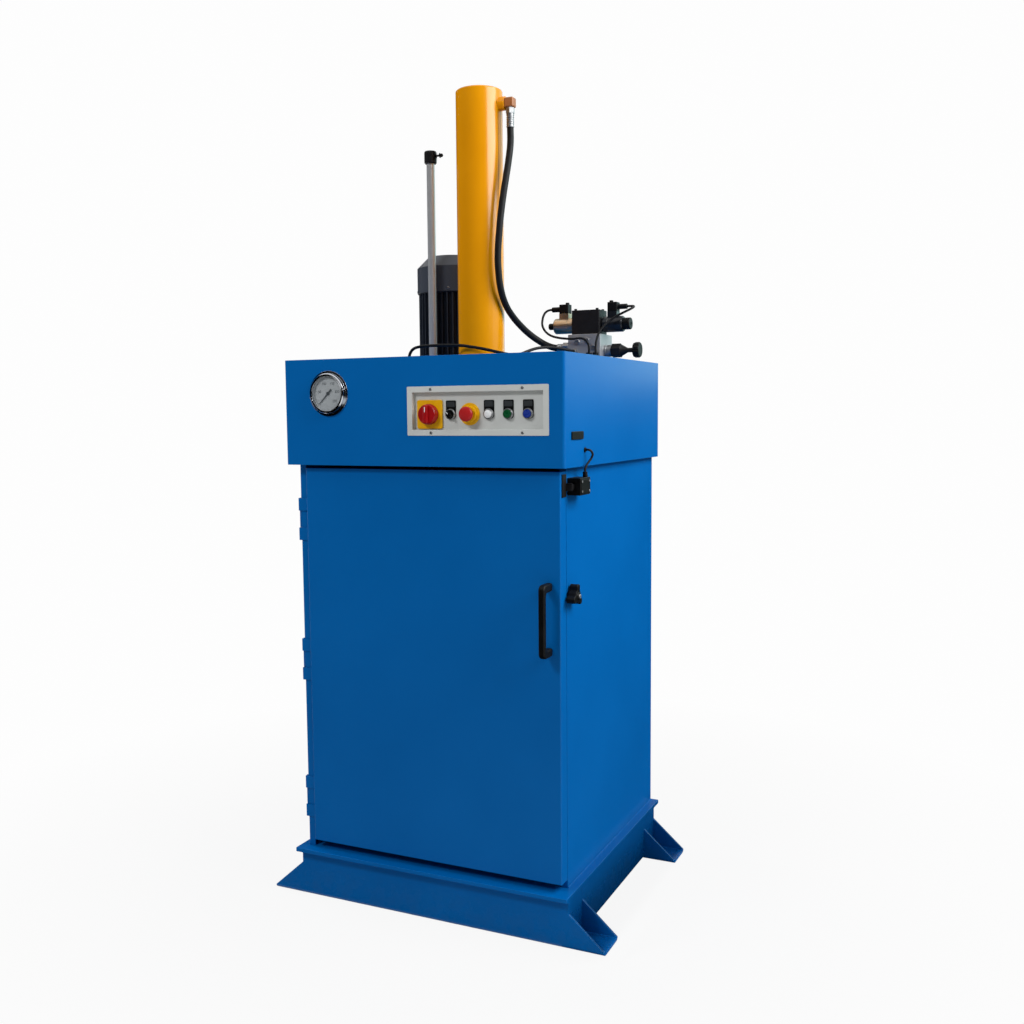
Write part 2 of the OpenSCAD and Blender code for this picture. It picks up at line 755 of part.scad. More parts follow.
// Pressed sheet cowl over the fan, with a ring of air slots in its crown
module motor_fan_cover() color("slategray")
  translate([motor_x, motor_y, fan_cover_z0]) difference() {
    crown_r = fan_cover_r - fan_chamfer;
    rotate_extrude() polygon([
      [fan_cover_r - fan_cover_t, 0], [fan_cover_r, 0], [fan_cover_r, fan_cover_h - fan_chamfer],
      [crown_r, fan_cover_h], [0, fan_cover_h], [0, fan_cover_h - fan_cover_t],
      [crown_r - 1, fan_cover_h - fan_cover_t],
      [fan_cover_r - fan_cover_t, fan_cover_h - fan_chamfer - 1]
    ]);
    for (i = [0 : 23]) rotate([0, 0, i * 15])
      translate([crown_r * 0.4, -2, fan_cover_h - fan_cover_t - 2]) cube([crown_r * 0.5, 4, 6]);
  }

// Shaft with its rotor core, fan and pump coupling
module motor_rotor() color("silver")
  translate([motor_x, motor_y, 0]) {
    fan_z = motor_z1 + fan_lift;
    translate([0, 0, shaft_z0]) cylinder(d = shaft_d, h = fan_z + fan_h - shaft_z0 + fan_blade_t);
    translate([0, 0, shaft_z0]) cylinder(d = coupling_d, h = coupling_l);
    translate([0, 0, head_z1 + core_end]) cylinder(d = rotor_d, h = motor_frame_h - 2 * core_end);
    translate([0, 0, fan_z]) cylinder(d = fan_hub_d, h = fan_h);
    for (i = [0 : fan_blade_n - 1]) rotate([0, 0, i * 360 / fan_blade_n])
      translate([fan_hub_d / 4, -fan_blade_t / 2, fan_z]) cube([fan_r - fan_hub_d / 4, fan_blade_t, fan_h]);
  }

module manifold_block() color("silver")
  difference() {
    block([manifold_x0, manifold_y0, head_z1],
          [manifold_x1, manifold_y0 + manifold_d, manifold_z1]);
    bar_x(relief_stem_d, manifold_x1 - 40, manifold_x1 + 1, relief_y, relief_z);
    bar_x(port_d, manifold_x0 - 1, manifold_x0 + 40, head_y0 + hose_end[1], head_z1 + hose_end[2]);
  }

module valve_body() color("black")
  translate([(valve_x0 + valve_x1) / 2, valve_y, manifold_z1]) linear_extrude(valve_h)
    round_rect(valve_x1 - valve_x0, valve_d, 3);

// One coil along +X from its valve, with its core nut and the flat that carries the plug
module solenoid() {
  rotate([0, 90, 0]) {
    cylinder(d = coil_d, h = coil_l);
    translate([0, 0, coil_l]) cylinder(d = coil_end_d, h = coil_end_l);
  }
  block([coil_l / 2 - plug_w / 2, -plug_w / 2, 0],
        [coil_l / 2 + plug_w / 2, plug_w / 2, plug_z0 - coil_z]);
}

module solenoids() color("darkslategray") {
  translate([valve_x1, valve_y, coil_z]) solenoid();
  translate([valve_x0, valve_y, coil_z]) mirror([1, 0, 0]) solenoid();
}

// One plug on its coil, with a cable gland along +X and a knurled screw on top
module din_plug() {
  mid = coil_l / 2;
  block([mid - plug_w / 2, -plug_w / 2, 0], [mid + plug_w / 2, plug_w / 2, plug_h]);
  bar_x(plug_gland_d, mid + plug_w / 2 - 1, mid + plug_w / 2 + plug_gland_l, 0, plug_h / 2);
  translate([mid - 7, 0, plug_h - 1]) cylinder(d = 12, h = 7);
}

module din_plugs() color("black") {
  translate([valve_x1, valve_y, plug_z0]) din_plug();
  translate([valve_x0, valve_y, plug_z0]) mirror([1, 0, 0]) din_plug();
}

module relief_valve() color("black")
  translate([manifold_x1, relief_y, relief_z]) rotate([0, 90, 0]) {
    cylinder(d = relief_body_d, h = relief_body_l + 0.3);
    translate([0, 0, relief_body_l]) cylinder(d = relief_hex, h = relief_hex_l, $fn = 6);
    translate([0, 0, relief_body_l + relief_hex_l]) rotate_extrude() polygon([
      [0, 0], [relief_hex * 0.42, 0], [relief_stem_d / 2, relief_cone_l], [0, relief_cone_l]
    ]);
    cylinder(d = relief_stem_d, h = relief_reach - 0.3);
    cylinder(d = relief_spigot_d, h = relief_reach + relief_spigot_l - 0.5);
  }

module relief_knob() color("black")
  translate([relief_knob_x0, relief_y, relief_z]) rotate([0, 90, 0]) difference() {
    union() {
      cylinder(d = relief_knob_d - 4, h = relief_knob_l);
      for (i = [0 : 9]) rotate([0, 0, i * 36])
        translate([relief_knob_d / 2 - 4, 0, 4]) cylinder(r = 4, h = relief_knob_l - 6);
    }
    translate([0, 0, -1]) cylinder(d = relief_spigot_d + 2 * run_gap, h = relief_spigot_l + 1);
  }

// Elbow and ferrule at the cylinder, and the fittings of both hoses at the manifold
module hose_fittings() color("silver") {
  elbow = 28;
  start = placed(hose_route)[0];
  finish = placed(hose_route)[len(hose_route) - 1];
  gauge_end = placed(gauge_hose_route)[len(gauge_hose_route) - 1];
  translate([start[0], cyl_y, 0]) {
    block([port_x - start[0], -elbow / 2, port_z - elbow / 2], [elbow / 2, elbow / 2, port_z + elbow / 2]);
    translate([0, 0, start[2]]) cylinder(d = hose_d + 3, h = port_z - elbow / 2 - start[2]);
    translate([0, 0, port_z - elbow / 2 - 18]) cylinder(d = hose_d + 7, h = 18, $fn = 6);
  }
  bar_x(hose_d + 3, finish[0], manifold_x0, finish[1], finish[2]);
  translate([manifold_x0 - 20, finish[1], finish[2]]) rotate([0, 90, 0])
    cylinder(d = hose_d + 11, h = 20, $fn = 6);
  translate(gauge_end) rotate([-90, 0, 0])
    cylinder(d = gauge_hose_d + 7, h = manifold_y0 - gauge_end[1], $fn = 6);
}

// Screwed cable glands on the cover, the gauge hose's grommet, and the clip in the head's side
module cable_glands() color("black") {
  for (route = [plug_left_route, plug_right_route]) {
    foot = placed(route)[len(route) - 1];
    translate([foot[0], foot[1], head_z1]) cylinder(d = gland_d, h = gland_h);
    translate([foot[0], foot[1], head_z1]) cylinder(d = gland_d + 1.5, h = 8, $fn = 6);
  }
  hose_foot = placed(gauge_hose_route)[0];
  translate([hose_foot[0], hose_foot[1], head_z1]) cylinder(d = gland_d, h = hose_foot[2] - head_z1);
  clip_end = placed(interlock_route)[len(interlock_route) - 1];
  bar_x(clip_d, head_x, clip_end[0], clip_end[1], clip_end[2]);
  switch_top = placed(interlock_route)[0];
  translate([switch_top[0], switch_top[1], interlock_z0 + interlock_h])
    cylinder(d = 13, h = switch_top[2] - interlock_z0 - interlock_h);
}

module pressure_hose() color("black") cord(placed(hose_route), hose_d, [1, -0.6, 0.7]);

module gauge_hose() color("black") cord(placed(gauge_hose_route), gauge_hose_d, [-0.4, 1, -1.5]);

module plug_cable_left() color("black") cord(placed(plug_left_route), plug_cable_d, [0, 1, -0.5]);

module plug_cable_right() color("black") cord(placed(plug_right_route), plug_cable_d, [0, 1, -0.7]);

module interlock_cable() color("black") cord(placed(interlock_route), interlock_cable_d, [0.6, -1, 0.2]);

// Pressed sheet panel with a flat rim and a sunk floor
module panel_tray() color("ivory")
  difference() {
    union() {
      translate([panel_x, head_y0, panel_z]) rotate([90, 0, 0]) linear_extrude(panel_t)
        round_rect(panel_w, panel_h, 3);
      translate([panel_x, panel_floor_y + panel_t, panel_z]) rotate([90, 0, 0])
        linear_extrude(panel_recess)
          square([recess_w + 2 * panel_t, recess_h + 2 * panel_t], center = true);
    }
    translate([panel_x, panel_floor_y, panel_z]) rotate([90, 0, 0]) linear_extrude(panel_recess + 1)
      square([recess_w, recess_h], center = true);
    for (x = [selector_x, estop_x, lamp_x, green_x, blue_x])
      on_panel(x) translate([0, 0, -panel_t - 1]) cylinder(d = button_hole, h = panel_t + 2);
    on_panel(switch_x) translate([0, 0, -panel_t - 1])
      cylinder(d = switch_shaft_d + 2 * run_gap, h = panel_t + 2);
    for (x = [-screw_x, screw_x], z = [-1, 1])
      translate([panel_x + x, head_y0 + 1, panel_z + z * (panel_h - panel_rim) / 2])
        rotate([90, 0, 0]) cylinder(d = screw_d + slide_fit, h = panel_t + 2);
  }

module panel_screws() color("silver")
  for (x = [-screw_x, screw_x], z = [-1, 1])
    translate([panel_x + x, head_y0 - panel_t, panel_z + z * (panel_h - panel_rim) / 2]) {
      rotate([90, 0, 0]) rotate_extrude() polygon([
        [0, 0], [screw_head_d / 2, 0], [screw_head_d / 2, 1.2], [screw_head_d / 2 - 1.3, screw_head_h],
        [0, screw_head_h]
      ]);
      rotate([-90, 0, 0]) cylinder(d = screw_d, h = panel_t + shell_t + 2);
    }

module main_switch_plate() color("gold")
  on_panel(switch_x) difference() {
    linear_extrude(switch_plate_t) round_rect(switch_plate_w, switch_plate_w, 6);
    translate([0, 0, -1]) cylinder(d = switch_shaft_d + 2 * run_gap, h = switch_plate_t + 2);
  }

// Rotary handle with a raised grip across it
module main_switch_knob() color("red")
  on_panel(switch_x) {
    knob_d = switch_plate_w - 22;
    translate([0, 0, switch_plate_t + 0.3]) rotate_extrude() polygon([
      [0, 0], [knob_d / 2, 0], [knob_d / 2, 9], [knob_d / 2 - 3, 12], [0, 12]
    ]);
    translate([0, 0, switch_plate_t + 11]) linear_extrude(17) round_rect(15, knob_d - 4, 5);
    translate([0, 0, -8]) cylinder(d = switch_shaft_d, h = 8 + switch_plate_t + 1);
  }

module legend_plates() color("black")
  for (x = [selector_x, lamp_x, green_x, blue_x]) on_panel(x) difference() {
    translate([0, legend_lift, 0]) linear_extrude(legend_t) round_rect(legend_w, legend_h, 3);
    translate([0, 0, -1]) cylinder(d = button_hole, h = legend_t + 2);
  }

module button_bezels() color("silver")
  for (x = [selector_x, lamp_x, green_x, blue_x]) on_panel(x) translate([0, 0, legend_t])
    rotate_extrude() polygon([
      [button_hole / 2, 0], [bezel_d / 2, 0], [bezel_d / 2, bezel_h - 2],
      [bezel_d / 2 - 1.5, bezel_h], [button_hole / 2, bezel_h]
    ]);

// A push button's cap and stem
module button(rise) {
  translate([0, 0, -6]) rotate_extrude() polygon([
    [0, 0], [button_d / 2, 0], [button_d / 2, rise + 5], [button_d / 2 - 1, rise + 6], [0, rise + 6]
  ]);
}

module selector_knob() color("black")
  on_panel(selector_x) {
    button(legend_t + bezel_h + 1);
    rotate([0, 0, 45]) translate([0, 0, legend_t + bezel_h]) linear_extrude(11)
      round_rect(7, button_d - 1, 2);
  }

// Round base of the emergency stop
module estop_collar() color("gold")
  on_panel(estop_x) rotate_extrude() polygon([
    [button_hole / 2, 0], [30, 0], [30, 3], [28, 5], [22, 5], [20, 10], [button_hole / 2, 10]
  ]);

module estop_button() color("red")
  on_panel(estop_x) {
    head_z = 19;
    translate([0, 0, head_z]) rotate_extrude() polygon([
      [0, 0], [estop_d / 2 - 3, 0], [estop_d / 2, 4], [estop_d / 2, 9], [estop_d / 2 - 2, 12],
      [estop_d / 2 - 7, 14], [0, 15]
    ]);
    translate([0, 0, -6]) cylinder(d = button_d, h = head_z + 7);
  }

module pilot_lamp() color("white")
  on_panel(lamp_x) translate([0, 0, -6]) rotate_extrude() polygon([
    [0, 0], [button_d / 2, 0], [button_d / 2, 16], [button_d / 2 - 2, 18.5], [button_d / 4, 20], [0, 20.5]
  ]);

module green_button() color("green") on_panel(green_x) button(legend_t + bezel_h + 4);

module blue_button() color("blue") on_panel(blue_x) button(legend_t + bezel_h + 4);

// Gauge can with its mounting flange and rolled bezel, and a ledge that carries the dial
module gauge_case() color("silver")
  on_gauge() {
    r = gauge_case_d / 2;
    rotate_extrude() polygon([
      [0, -gauge_back], [r, -gauge_back], [r, 0], [gauge_d / 2, 0], [gauge_d / 2, 3],
      [r + 1, 3], [r + 1, gauge_front], [r - 2, gauge_front + 3], [r - 7, gauge_front + 2],
      [r - 7, gauge_front], [r - gauge_wall, gauge_front], [r - gauge_wall, 2],
      [r - 6, 2], [r - 6, -gauge_back + gauge_wall], [0, -gauge_back + gauge_wall]
    ]);
  }

module gauge_dial() color("white")
  on_gauge() translate([0, 0, 2]) difference() {
    cylinder(d = gauge_case_d - 2 * gauge_wall - slide_fit, h = 1.2);
    translate([0, 0, -1]) cylinder(d = gauge_spindle_d + 2 * run_gap, h = 4);
  }

module gauge_pointer() color("black")
  on_gauge() rotate([0, 0, 225]) {
    tip = gauge_case_d / 2 - 14;
    translate([0, 0, 5]) linear_extrude(1.2)
      polygon([[-16, -2.5], [0, -2], [tip, -0.6], [tip, 0.6], [0, 2], [-16, 2.5]]);
    translate([0, 0, 4]) cylinder(d = 10, h = 3);
    translate([0, 0, -10]) cylinder(d = gauge_spindle_d, h = 15);
  }

module gauge_lens() color("lightblue")
  on_gauge() translate([0, 0, gauge_front - 3])
    cylinder(d = gauge_case_d - 2 * gauge_wall - slide_fit, h = 3);

module side_cover_plate() color("black")
  translate([head_x, head_y0 + side_cover_inset, head_z1 - side_cover_drop]) rotate([90, 0, 90])
    linear_extrude(side_cover_t) round_rect(side_cover_w, side_cover_h, 3);

// Folded door: a face, four returns and a lip round the back, with the keeper of the latch welded in
module door_panel() color("royalblue") {
  inner_x0 = door_x0 + door_sheet;
  inner_x1 = door_x1 - door_sheet;
  lip_x1 = door_x1 - door_lip;
  difference() {
    union() {
      difference() {
        translate([(door_x0 + door_x1) / 2, 0, door_z0]) linear_extrude(door_z1 - door_z0)
          intersection() {
            translate([0, door_y1]) round_rect(door_x1 - door_x0, 2 * door_t, door_bend);
            translate([door_x0 - door_x1, door_y0]) square([2 * (door_x1 - door_x0), door_t]);
          }
        block([inner_x0, door_y0 + door_sheet, door_z0 + door_sheet],
              [inner_x1, door_y1 - door_sheet, door_z1 - door_sheet]);
        block([door_x0 + door_lip, door_y0 + door_sheet, door_z0 + door_lip],
              [lip_x1, door_y1 + 1, door_z1 - door_lip]);
      }
      block([keeper_x0, door_y1 - door_sheet, latch_z - latch_notch - 18],
            [lip_x1 + 1, door_y1, latch_z + latch_notch + 18]);
    }
    block([keeper_x1 + 2, door_y1 - door_sheet - 1, latch_z - latch_notch],
          [inner_x1, door_y1 + 1, latch_z + latch_notch]);
  }
  block([keeper_x0, door_y1 - door_sheet, latch_z - 18],
        [keeper_x1, latch_y - keeper_r + keeper_d / 2 + 4, latch_z + 18]);
  bar_x(keeper_d, keeper_x0, latch_disc_x1 + 1, latch_y - keeper_r, latch_z);
}

// Moulded D handle
module door_handle() color("black")
  translate([handle_x - handle_w / 2, door_y0, handle_z]) rotate([90, 0, 90]) linear_extrude(handle_w)
    difference() {
      intersection() {
        round_rect(2 * handle_off, handle_l, 16);
        translate([-2 * handle_off, -handle_l]) square([2 * handle_off, 2 * handle_l]);
      }
      round_rect(2 * (handle_off - handle_bar), handle_l - 2 * handle_arm, 10);
    }

// Door halves of the hinges: two knuckles each, on straps that pass in front of the wall's fold
module door_hinges() color("royalblue")
  at_hinges() for (end = [-1, 1])
    translate([0, 0, end * (hinge_h / 2 - knuckle_l / 2) - knuckle_l / 2]) difference() {
      strap_y1 = stile_y0 - pivot_y - strap_gap;
      strap_y0 = strap_y1 - strap_t;
      union() {
        cylinder(d = knuckle_d, h = knuckle_l);
        block([-strap_t / 2, strap_y0, 0], [strap_t / 2, 0, knuckle_l]);
        block([-strap_t / 2, strap_y0, 0], [door_x0 - pivot_x, strap_y1, knuckle_l]);
      }
      translate([0, 0, -1]) cylinder(d = hinge_pin_d + slide_fit, h = knuckle_l + 2);
    }

// Wall halves of the hinges: a middle knuckle on a leaf, with the pin fixed in it
module wall_hinges() color("royalblue")
  at_hinges() {
    mid_l = hinge_h - 2 * knuckle_l - 2 * run_gap;
    translate([0, 0, -mid_l / 2]) cylinder(d = knuckle_d, h = mid_l);
    block([-wall_x - pivot_x - leaf_t, 0, -mid_l / 2], [-wall_x - pivot_x, leaf_l, mid_l / 2]);
    translate([0, 0, -hinge_h / 2]) cylinder(d = hinge_pin_d, h = hinge_h);
  }

// Three-lobed knob on its shaft through the wall
module latch_knob() color("black")
  translate([wall_x, latch_y, latch_z]) rotate([90, 0, 90]) {
    lobe_r = 9;
    translate([0, 0, run_gap]) cylinder(d = 24, h = 5);
    translate([0, 0, 5]) linear_extrude(24) {
      circle(latch_knob_r - 1.6 * lobe_r);
      for (a = [80, 200, 320]) rotate(a) {
        translate([0, -lobe_r]) square([latch_knob_r - lobe_r, 2 * lobe_r]);
        translate([latch_knob_r - lobe_r, 0]) circle(lobe_r);
      }
    }
    translate([0, 0, 28]) cylinder(d = 20, h = 4);
    translate([0, 0, latch_disc_x1 - wall_x]) cylinder(d = latch_shaft_d, h = wall_x - latch_disc_x1 + 2);
  }

// Slotted disc: the keeper enters by the mouth and is held by the slot when the disc turns
module latch_disc() color("silver")
  translate([latch_disc_x0, latch_y, latch_z]) rotate([90, 0, 90]) difference() {
    cylinder(r = latch_disc_r, h = latch_disc_t);
    translate([-latch_disc_r - 1, -keeper_slot / 2, -1])
      cube([latch_disc_r + 1 - keeper_r, keeper_slot, latch_disc_t + 2]);
    translate([0, 0, -1]) intersection() {
      difference() {
        cylinder(r = keeper_r + keeper_slot / 2, h = latch_disc_t + 2);
        cylinder(r = keeper_r - keeper_slot / 2, h = latch_disc_t + 2);
      }
      translate([-2 * latch_disc_r, 0, 0]) cube([2 * latch_disc_r, 2 * latch_disc_r, latch_disc_t + 2]);
    }
    for (p = [[-keeper_r, 0], [0, keeper_r]])
      translate([p[0], p[1], -1]) cylinder(d = keeper_slot, h = latch_disc_t + 2);
  }

// Safety switch with the slot that takes the door's key
module interlock_switch() color("black")
  difference() {
    union() {
      block([wall_x, interlock_y0, interlock_z0],
            [wall_x + interlock_off, interlock_y0 + interlock_l, interlock_z0 + interlock_h]);
      block([wall_x, interlock_y0 + interlock_l, interlock_z0 + 10],
            [wall_x + 4, interlock_y0 + interlock_l + 12, interlock_z0 + interlock_h - 10]);
    }
    block([key_x - key_slot_w / 2, interlock_y0 - 1, key_z - key_slot_h / 2],
          [key_x + key_slot_w / 2, interlock_y0 + key_reach + 6, key_z + key_slot_h / 2]);
  }

// Key on the door's edge: a foot, an arm and the tongue in the switch
module interlock_key() color("gray") {
  foot_y0 = door_y0 + 8;
  foot_y1 = door_y1 - 4;
  block([wall_x, foot_y0, key_z - 26], [wall_x + 3, foot_y1, key_z + 34]);
  block([wall_x, foot_y1 - 6, key_z - 10], [key_x + key_t / 2, foot_y1, key_z + 10]);
  block([key_x - key_t / 2, foot_y1 - 6, key_z - key_tongue_h / 2],
        [key_x + key_t / 2, interlock_y0 + key_reach, key_z + key_tongue_h / 2]);
}

base_channels();
base_cross_plates();
base_plate();
side_wall_left();
side_wall_right();
rear_wall();
head_floor();
head_shell();
head_cover();
oil_tank();
gear_pump();
cylinder_barrel();
cylinder_gland();
piston();
piston_rod();
platen();
guide_rod();
guide_bush();
stop_collar();
motor_frame();
motor_fan_cover();
motor_rotor();
manifold_block();
valve_body();
solenoids();
din_plugs();
relief_valve();
relief_knob();
hose_fittings();
cable_glands();
pressure_hose();
gauge_hose();
plug_cable_left();
plug_cable_right();
interlock_cable();
panel_tray();
panel_screws();
main_switch_plate();
main_switch_knob();
legend_plates();
button_bezels();
selector_knob();
estop_collar();
estop_button();
pilot_lamp();
green_button();
blue_button();
gauge_case();
gauge_dial();
gauge_pointer();
gauge_lens();
side_cover_plate();
door_panel();
door_handle();
door_hinges();
wall_hinges();
latch_knob();
latch_disc();
interlock_switch();
interlock_key();
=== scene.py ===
import json
import math

import bmesh
import bpy
from mathutils import Matrix, Vector

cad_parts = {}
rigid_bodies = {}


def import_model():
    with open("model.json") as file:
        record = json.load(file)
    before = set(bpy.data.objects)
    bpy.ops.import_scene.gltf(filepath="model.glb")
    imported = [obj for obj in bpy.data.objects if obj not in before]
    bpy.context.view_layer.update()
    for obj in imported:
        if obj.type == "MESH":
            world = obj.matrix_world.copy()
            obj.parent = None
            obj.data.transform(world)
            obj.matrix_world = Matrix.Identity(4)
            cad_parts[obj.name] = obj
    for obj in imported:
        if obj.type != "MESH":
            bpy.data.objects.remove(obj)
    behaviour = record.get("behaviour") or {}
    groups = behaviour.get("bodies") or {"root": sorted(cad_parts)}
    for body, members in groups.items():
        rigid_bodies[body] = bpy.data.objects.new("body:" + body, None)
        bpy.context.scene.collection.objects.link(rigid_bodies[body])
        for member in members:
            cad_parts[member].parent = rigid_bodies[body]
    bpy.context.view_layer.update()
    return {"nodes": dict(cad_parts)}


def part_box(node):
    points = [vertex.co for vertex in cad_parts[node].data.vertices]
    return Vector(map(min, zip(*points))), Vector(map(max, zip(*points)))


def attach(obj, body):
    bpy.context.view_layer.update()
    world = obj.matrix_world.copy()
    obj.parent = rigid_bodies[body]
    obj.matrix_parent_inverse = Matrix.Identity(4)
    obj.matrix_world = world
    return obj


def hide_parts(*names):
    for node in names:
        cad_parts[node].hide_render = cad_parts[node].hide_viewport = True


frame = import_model()
stage_scene = bpy.context.scene
stage_scene.view_settings.view_transform = "Standard"


# Camera
# The machine is seen from its right at chest height, with the front and the right side in view.
# The lens is slightly wide, the view drops by five degrees and the frame is tipped by half a degree.
eye = Vector((1.476, -2.9667, 1.4417))
turn, drop, tip = (math.radians(a) for a in (24.83, 5.19, -0.47))
ahead = Vector((-math.sin(turn) * math.cos(drop), math.cos(turn) * math.cos(drop), -math.sin(drop)))
level = Vector((math.cos(turn), math.sin(turn), 0))
upright = level.cross(ahead)
across = math.cos(tip) * level + math.sin(tip) * upright
above = math.cos(tip) * upright - math.sin(tip) * level
camera = bpy.data.objects.new("camera", bpy.data.cameras.new("camera"))
camera.data.sensor_width = 36
camera.data.lens = 37.99
camera.matrix_world = Matrix.Translation(eye) @ Matrix((across, above, -ahead)).transposed().to_4x4()
stage_scene.collection.objects.link(camera)
stage_scene.camera = camera


# Hoses and cables
# A steel-braided pressure hose from the cylinder's port to the manifold, a thin hose to the gauge,
# a cable from each coil's plug, and a short cable from the door switch. All have black rubber skins.
class Shade:
    """One socket of a material's nodes, used in plain expressions."""

    def __init__(self, tree, socket):
        self.tree = tree
        self.socket = socket

    def node(self, kind, settings=None, sockets=None, out=0):
        made = self.tree.nodes.new(kind)
        for key, value in (settings or {}).items():
            if key == "stops":
                for i, (spot, colour) in enumerate(value):
                    stops = made.color_ramp.elements
                    stop = stops[i] if i < 2 else stops.new(spot)
                    stop.position = spot
                    stop.color = colour
            else:
                setattr(made, key, value)
        for key, value in (sockets or {}).items():
            if isinstance(value, Shade):
                self.tree.links.new(value.socket, made.inputs[key])
            else:
                made.inputs[key].default_value = value
        return Shade(self.tree, made.outputs[out])

    def sum_of(self, operation, *values):
        return self.node("ShaderNodeMath", {"operation": operation}, dict(enumerate(values)))

    def __add__(self, other):
        return self.sum_of("ADD", self, other)

    def __sub__(self, other):
        return self.sum_of("SUBTRACT", self, other)

    def __rsub__(self, other):
        return self.sum_of("SUBTRACT", other, self)

    def __mul__(self, other):
        return self.sum_of("MULTIPLY", self, other)

    __radd__ = __add__
    __rmul__ = __mul__

    def between(self, low, high):
        """0 below low, 1 above high."""
        return self.node("ShaderNodeMapRange", {"clamp": True}, {0: self, 1: low, 2: high})

    def mix(self, low, high):
        """The low colour where this is 0, the high colour where it is 1."""
        return self.node("ShaderNodeMix", {"data_type": "RGBA"}, {0: self, 6: low, 7: high}, out=2)

    def speckle(self, scale, detail=2.0, roughness=0.5):
        return self.node("ShaderNodeTexNoise", None,
                         {"Vector": self, "Scale": scale, "Detail": detail, "Roughness": roughness})

    def stretch(self, x, y, z):
        return self.node("ShaderNodeVectorMath", {"operation": "MULTIPLY"}, {0: self, 1: (x, y, z)})

    def height(self):
        return self.node("ShaderNodeSeparateXYZ", None, {0: self}, out=2)

    def feed(self, shader, socket):
        self.tree.links.new(self.socket, shader.inputs[socket])

    def emboss(self, shader, strength, distance):
        self.node("ShaderNodeBump", None,
                  {"Height": self, "Strength": strength, "Distance": distance}).feed(shader, "Normal")


def finish(name, **fixed):
    """A new material, its shader with these fixed values, and the surface's own coordinates in metres."""
    material = bpy.data.materials.new(name)
    material.use_nodes = True
    tree = material.node_tree
    shader = tree.nodes["Principled BSDF"]
    for socket, value in fixed.items():
        shader.inputs[socket.replace("_", " ")].default_value = value
    return material, shader, Shade(tree, tree.nodes.new("ShaderNodeTexCoord").outputs["Object"])


def tint(red, green, blue):
    """A colour from its values on screen, 0 to 255."""
    linear = [v / 255 / 12.92 if v < 11 else ((v / 255 + 0.055) / 1.055) ** 2.4 for v in (red, green, blue)]
    return (*linear, 1)


rubber, shader, place = finish("hose_rubber", Specular_IOR_Level=0.25)
dust = place.speckle(38, 4)
dust.between(0.55, 0.85).mix(tint(13, 14, 16), tint(32, 33, 35)).feed(shader, "Base Color")
(0.42 + dust * 0.28).feed(shader, "Roughness")
(place.speckle(900, 1) + dust * 0.5).emboss(shader, strength=0.25, distance=0.0003)

head_low, head_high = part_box("head_shell")


def cord(name, node, diameter, route):
    """A cord along points given across the machine, back from the head's front and up from its top."""
    points = [Vector((x, head_low.y + back, head_high.z + up)) for x, back, up in route]
    line = bpy.data.curves.new(name, "CURVE")
    line.dimensions = "3D"
    line.bevel_depth = diameter / 2
    line.bevel_resolution = 6
    line.resolution_u = 8
    line.use_fill_caps = True
    spline = line.splines.new("BEZIER")
    spline.bezier_points.add(len(points) - 1)
    for knot, point in zip(spline.bezier_points, points):
        knot.co = point
        knot.handle_left_type = knot.handle_right_type = "AUTO"
    line.materials.append(rubber)
    piece = bpy.data.objects.new(name, line)
    stage_scene.collection.objects.link(piece)
    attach(piece, "machine")
    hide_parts(node)


cord("pressure_hose_line", "pressure_hose", diameter=0.020, route=(
    (0.102, 0.405, 0.684), (0.102, 0.405, 0.640), (0.100, 0.396, 0.590), (0.096, 0.384, 0.535),
    (0.092, 0.372, 0.480), (0.088, 0.363, 0.425), (0.085, 0.357, 0.370), (0.082, 0.354, 0.315),
    (0.082, 0.357, 0.260), (0.084, 0.369, 0.208), (0.087, 0.396, 0.166), (0.092, 0.432, 0.136),
    (0.101, 0.470, 0.110), (0.115, 0.506, 0.086), (0.134, 0.531, 0.067), (0.155, 0.546, 0.053),
    (0.173, 0.552, 0.046), (0.184, 0.552, 0.044), (0.190, 0.552, 0.044)))
cord("gauge_hose_line", "gauge_hose", diameter=0.009, route=(
    (-0.205, 0.320, 0.008), (-0.205, 0.320, 0.018), (-0.200, 0.320, 0.031), (-0.189, 0.320, 0.0415),
    (-0.172, 0.320, 0.0465), (-0.150, 0.320, 0.0485), (-0.124, 0.320, 0.049), (-0.085, 0.320, 0.049),
    (-0.048, 0.320, 0.0475), (-0.016, 0.320, 0.045), (0.008, 0.320, 0.041), (0.032, 0.320, 0.037),
    (0.056, 0.320, 0.032), (0.104, 0.321, 0.021), (0.126, 0.326, 0.016), (0.144, 0.338, 0.014),
    (0.154, 0.358, 0.018), (0.163, 0.382, 0.026), (0.172, 0.405, 0.033), (0.183, 0.428, 0.038),
    (0.198, 0.448, 0.040), (0.215, 0.466, 0.039), (0.232, 0.482, 0.0365), (0.243, 0.495, 0.0335),
    (0.2495, 0.508, 0.031), (0.252, 0.518, 0.030), (0.252, 0.526, 0.030)))
cord("plug_cable_left_line", "plug_cable_left", diameter=0.007, route=(
    (0.158, 0.587, 0.164), (0.1505, 0.587, 0.164), (0.139, 0.583, 0.159), (0.133, 0.577, 0.148),
    (0.132, 0.569, 0.133), (0.135, 0.560, 0.117), (0.144, 0.551, 0.103), (0.157, 0.542, 0.091),
    (0.177, 0.533, 0.080), (0.202, 0.526, 0.073), (0.229, 0.520, 0.069), (0.255, 0.516, 0.067),
    (0.277, 0.513, 0.068), (0.294, 0.511, 0.064), (0.305, 0.510, 0.053), (0.309, 0.510, 0.038),
    (0.309, 0.510, 0.024)))
